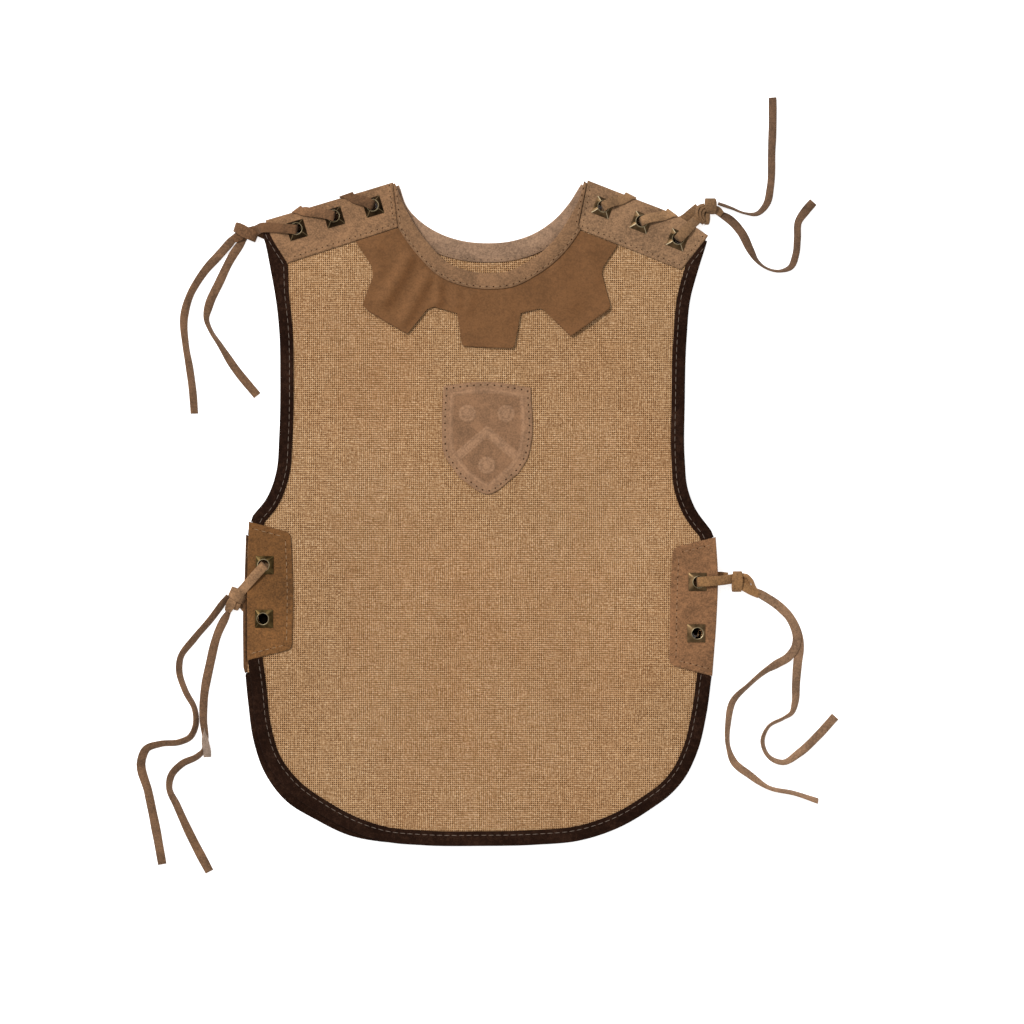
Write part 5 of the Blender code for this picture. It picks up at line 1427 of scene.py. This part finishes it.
stitchKinds = {
    "topstitch": {"every": 5.9, "long": 4.6, "thick": 0.5, "proud": 0.1, "pit": 0, "pick": greyPick},
    "fine": {"every": 4.7, "long": 2.6, "thick": 0.5, "proud": 0, "pit": 0.5, "pick": tanPick},
    "suede": {"every": 5.4, "long": 3.4, "thick": 0.5, "proud": -0.02, "pit": 0.56, "pick": tanPick},
    "faint": {"every": 5.4, "long": 3.2, "thick": 0.4, "proud": -0.06, "pit": 0.36, "pick": tanPick},
    "shield": {"every": 5.5, "long": 3.6, "thick": 0.5, "proud": -0.02, "pit": 0.66, "pick": palePick},
    "dashed": {"every": 5.4, "long": 3.9, "thick": 0.55, "proud": 0.02, "pit": 0.42, "pick": palePick},
}
needle = {"from": 60, "pitLong": 1.15, "pitDeep": 0.12}
graph = bpy.context.evaluated_depsgraph_get()


def bead(shape, matrix):
    bmesh.ops.create_uvsphere(shape, u_segments=7, v_segments=4, radius=1, matrix=matrix)


def sewSeam(name, line, piece, side, kindName):
    kind = stitchKinds[kindName]
    tree = BVHTree.FromObject(piece, graph)
    length = np.linalg.norm(np.diff(line, axis=0), axis=1).sum()
    count = max(2, round(length / kind["every"]))
    marks = evenly(line, count * 2)
    sign = 1 if side == "front" else -1
    threads, pits = bmesh.new(), bmesh.new()

    def pricked(mark):
        # where the needle meets the piece, and the way the piece faces there
        return tree.ray_cast(Vector((*mark, sign * needle["from"])) * mm, Vector((0, 0, -sign)))[:2]

    for k in range(1, count * 2, 2):
        along = unit(marks[k + 1] - marks[k - 1])
        hit, normal = pricked(marks[k])
        if hit is None:
            continue
        tilt = Vector((0, 0, 1)).rotation_difference(Vector((normal.x, normal.y, abs(normal.z)))).to_matrix()
        turned = (tilt @ Matrix.Rotation(math.atan2(along[1], along[0]), 3, "Z")).to_4x4()
        place = Matrix.Translation(hit + Vector((0, 0, sign * kind["proud"] * mm)))
        size = Matrix.Diagonal((kind["long"] / 2 * mm, kind["thick"] / 2 * mm, kind["thick"] / 2 * mm, 1))
        bead(threads, place @ turned @ size @ Matrix.Rotation(math.pi / 2, 4, "Y"))
        # a dark disc of painted shade where the needle went in before each stitch
        pit = pricked(marks[k - 1])[0] if kind["pit"] else None
        if pit is not None:
            flat = (kind["pit"] * needle["pitLong"] * mm, kind["pit"] * mm, needle["pitDeep"] * mm, 1)
            bead(pits, Matrix.Translation(pit) @ turned @ Matrix.Diagonal(flat))
    slotName = "binding" if kindName == "topstitch" else "light_suede"
    addPiece(name, meshFrom(threads, name), kind["pick"])
    if kind["pit"]:
        addPiece(name + "_holes", meshFrom(pits, name + "_holes"), darkPick)
    else:
        pits.free()


for seam in seams:
    sewSeam(*seam)
print("stitches made")


studio = {
    "floorSize": 9, "floorTone": 0.95, "floorGlow": 0.68, "underEyelet": (8, 12), "skyStrength": 0.62,
    "keySize": 1.1, "keyPower": 171, "keyAt": (-1.9, 1.9, 3.95)}
shape = bmesh.new()
bmesh.ops.create_grid(shape, x_segments=1, y_segments=1, size=studio["floorSize"])
floor = bpy.data.objects.new("floor", meshFrom(shape, "floor"))
bpy.context.scene.collection.objects.link(floor)
r = Recipe("paleFloor")
tone = studio["floorTone"]
r.set(Base_Color=r.ramp(r.noise(r.stretched(3, 3, 3), 1), [(0, [tone] * 3), (1, [tone] * 3)]),
      Roughness=0.9)
# painted light: the floor glows, washing out the shadows cast on it, but the glow fades out under the eyelets so
# the holes stay dark
away = None
for x, y in holeSpots["back"]:
    reach = r.add("ShaderNodeVectorMath", {"operation": "DISTANCE"}, {
        0: r.place, 1: (x * mm, y * mm, 0)}, 1)
    away = reach if away is None else away.math("MINIMUM", away, reach)
dark, lit = studio["underEyelet"]
r.set(Emission_Color=r.span(away, dark * mm, lit * mm), Emission_Strength=studio["floorGlow"])
floor.data.materials.append(r.material)

world = bpy.data.worlds.new("studio")
bpy.context.scene.world = world
world.use_nodes = True
world.node_tree.nodes["Background"].inputs["Color"].default_value = (1, 0.995, 0.985, 1)
world.node_tree.nodes["Background"].inputs["Strength"].default_value = studio["skyStrength"]
key = bpy.data.objects.new("key", bpy.data.lights.new("key", "AREA"))
bpy.context.scene.collection.objects.link(key)
key.data.shape = "DISK"
key.data.size = studio["keySize"]
key.data.energy = studio["keyPower"]
key.data.color = (1, 0.985, 0.96)
key.location = studio["keyAt"]
key.rotation_mode = "QUATERNION"
key.rotation_quaternion = (-Vector(studio["keyAt"])).to_track_quat("-Z", "Y")
bpy.context.scene.view_settings.view_transform = "Standard"
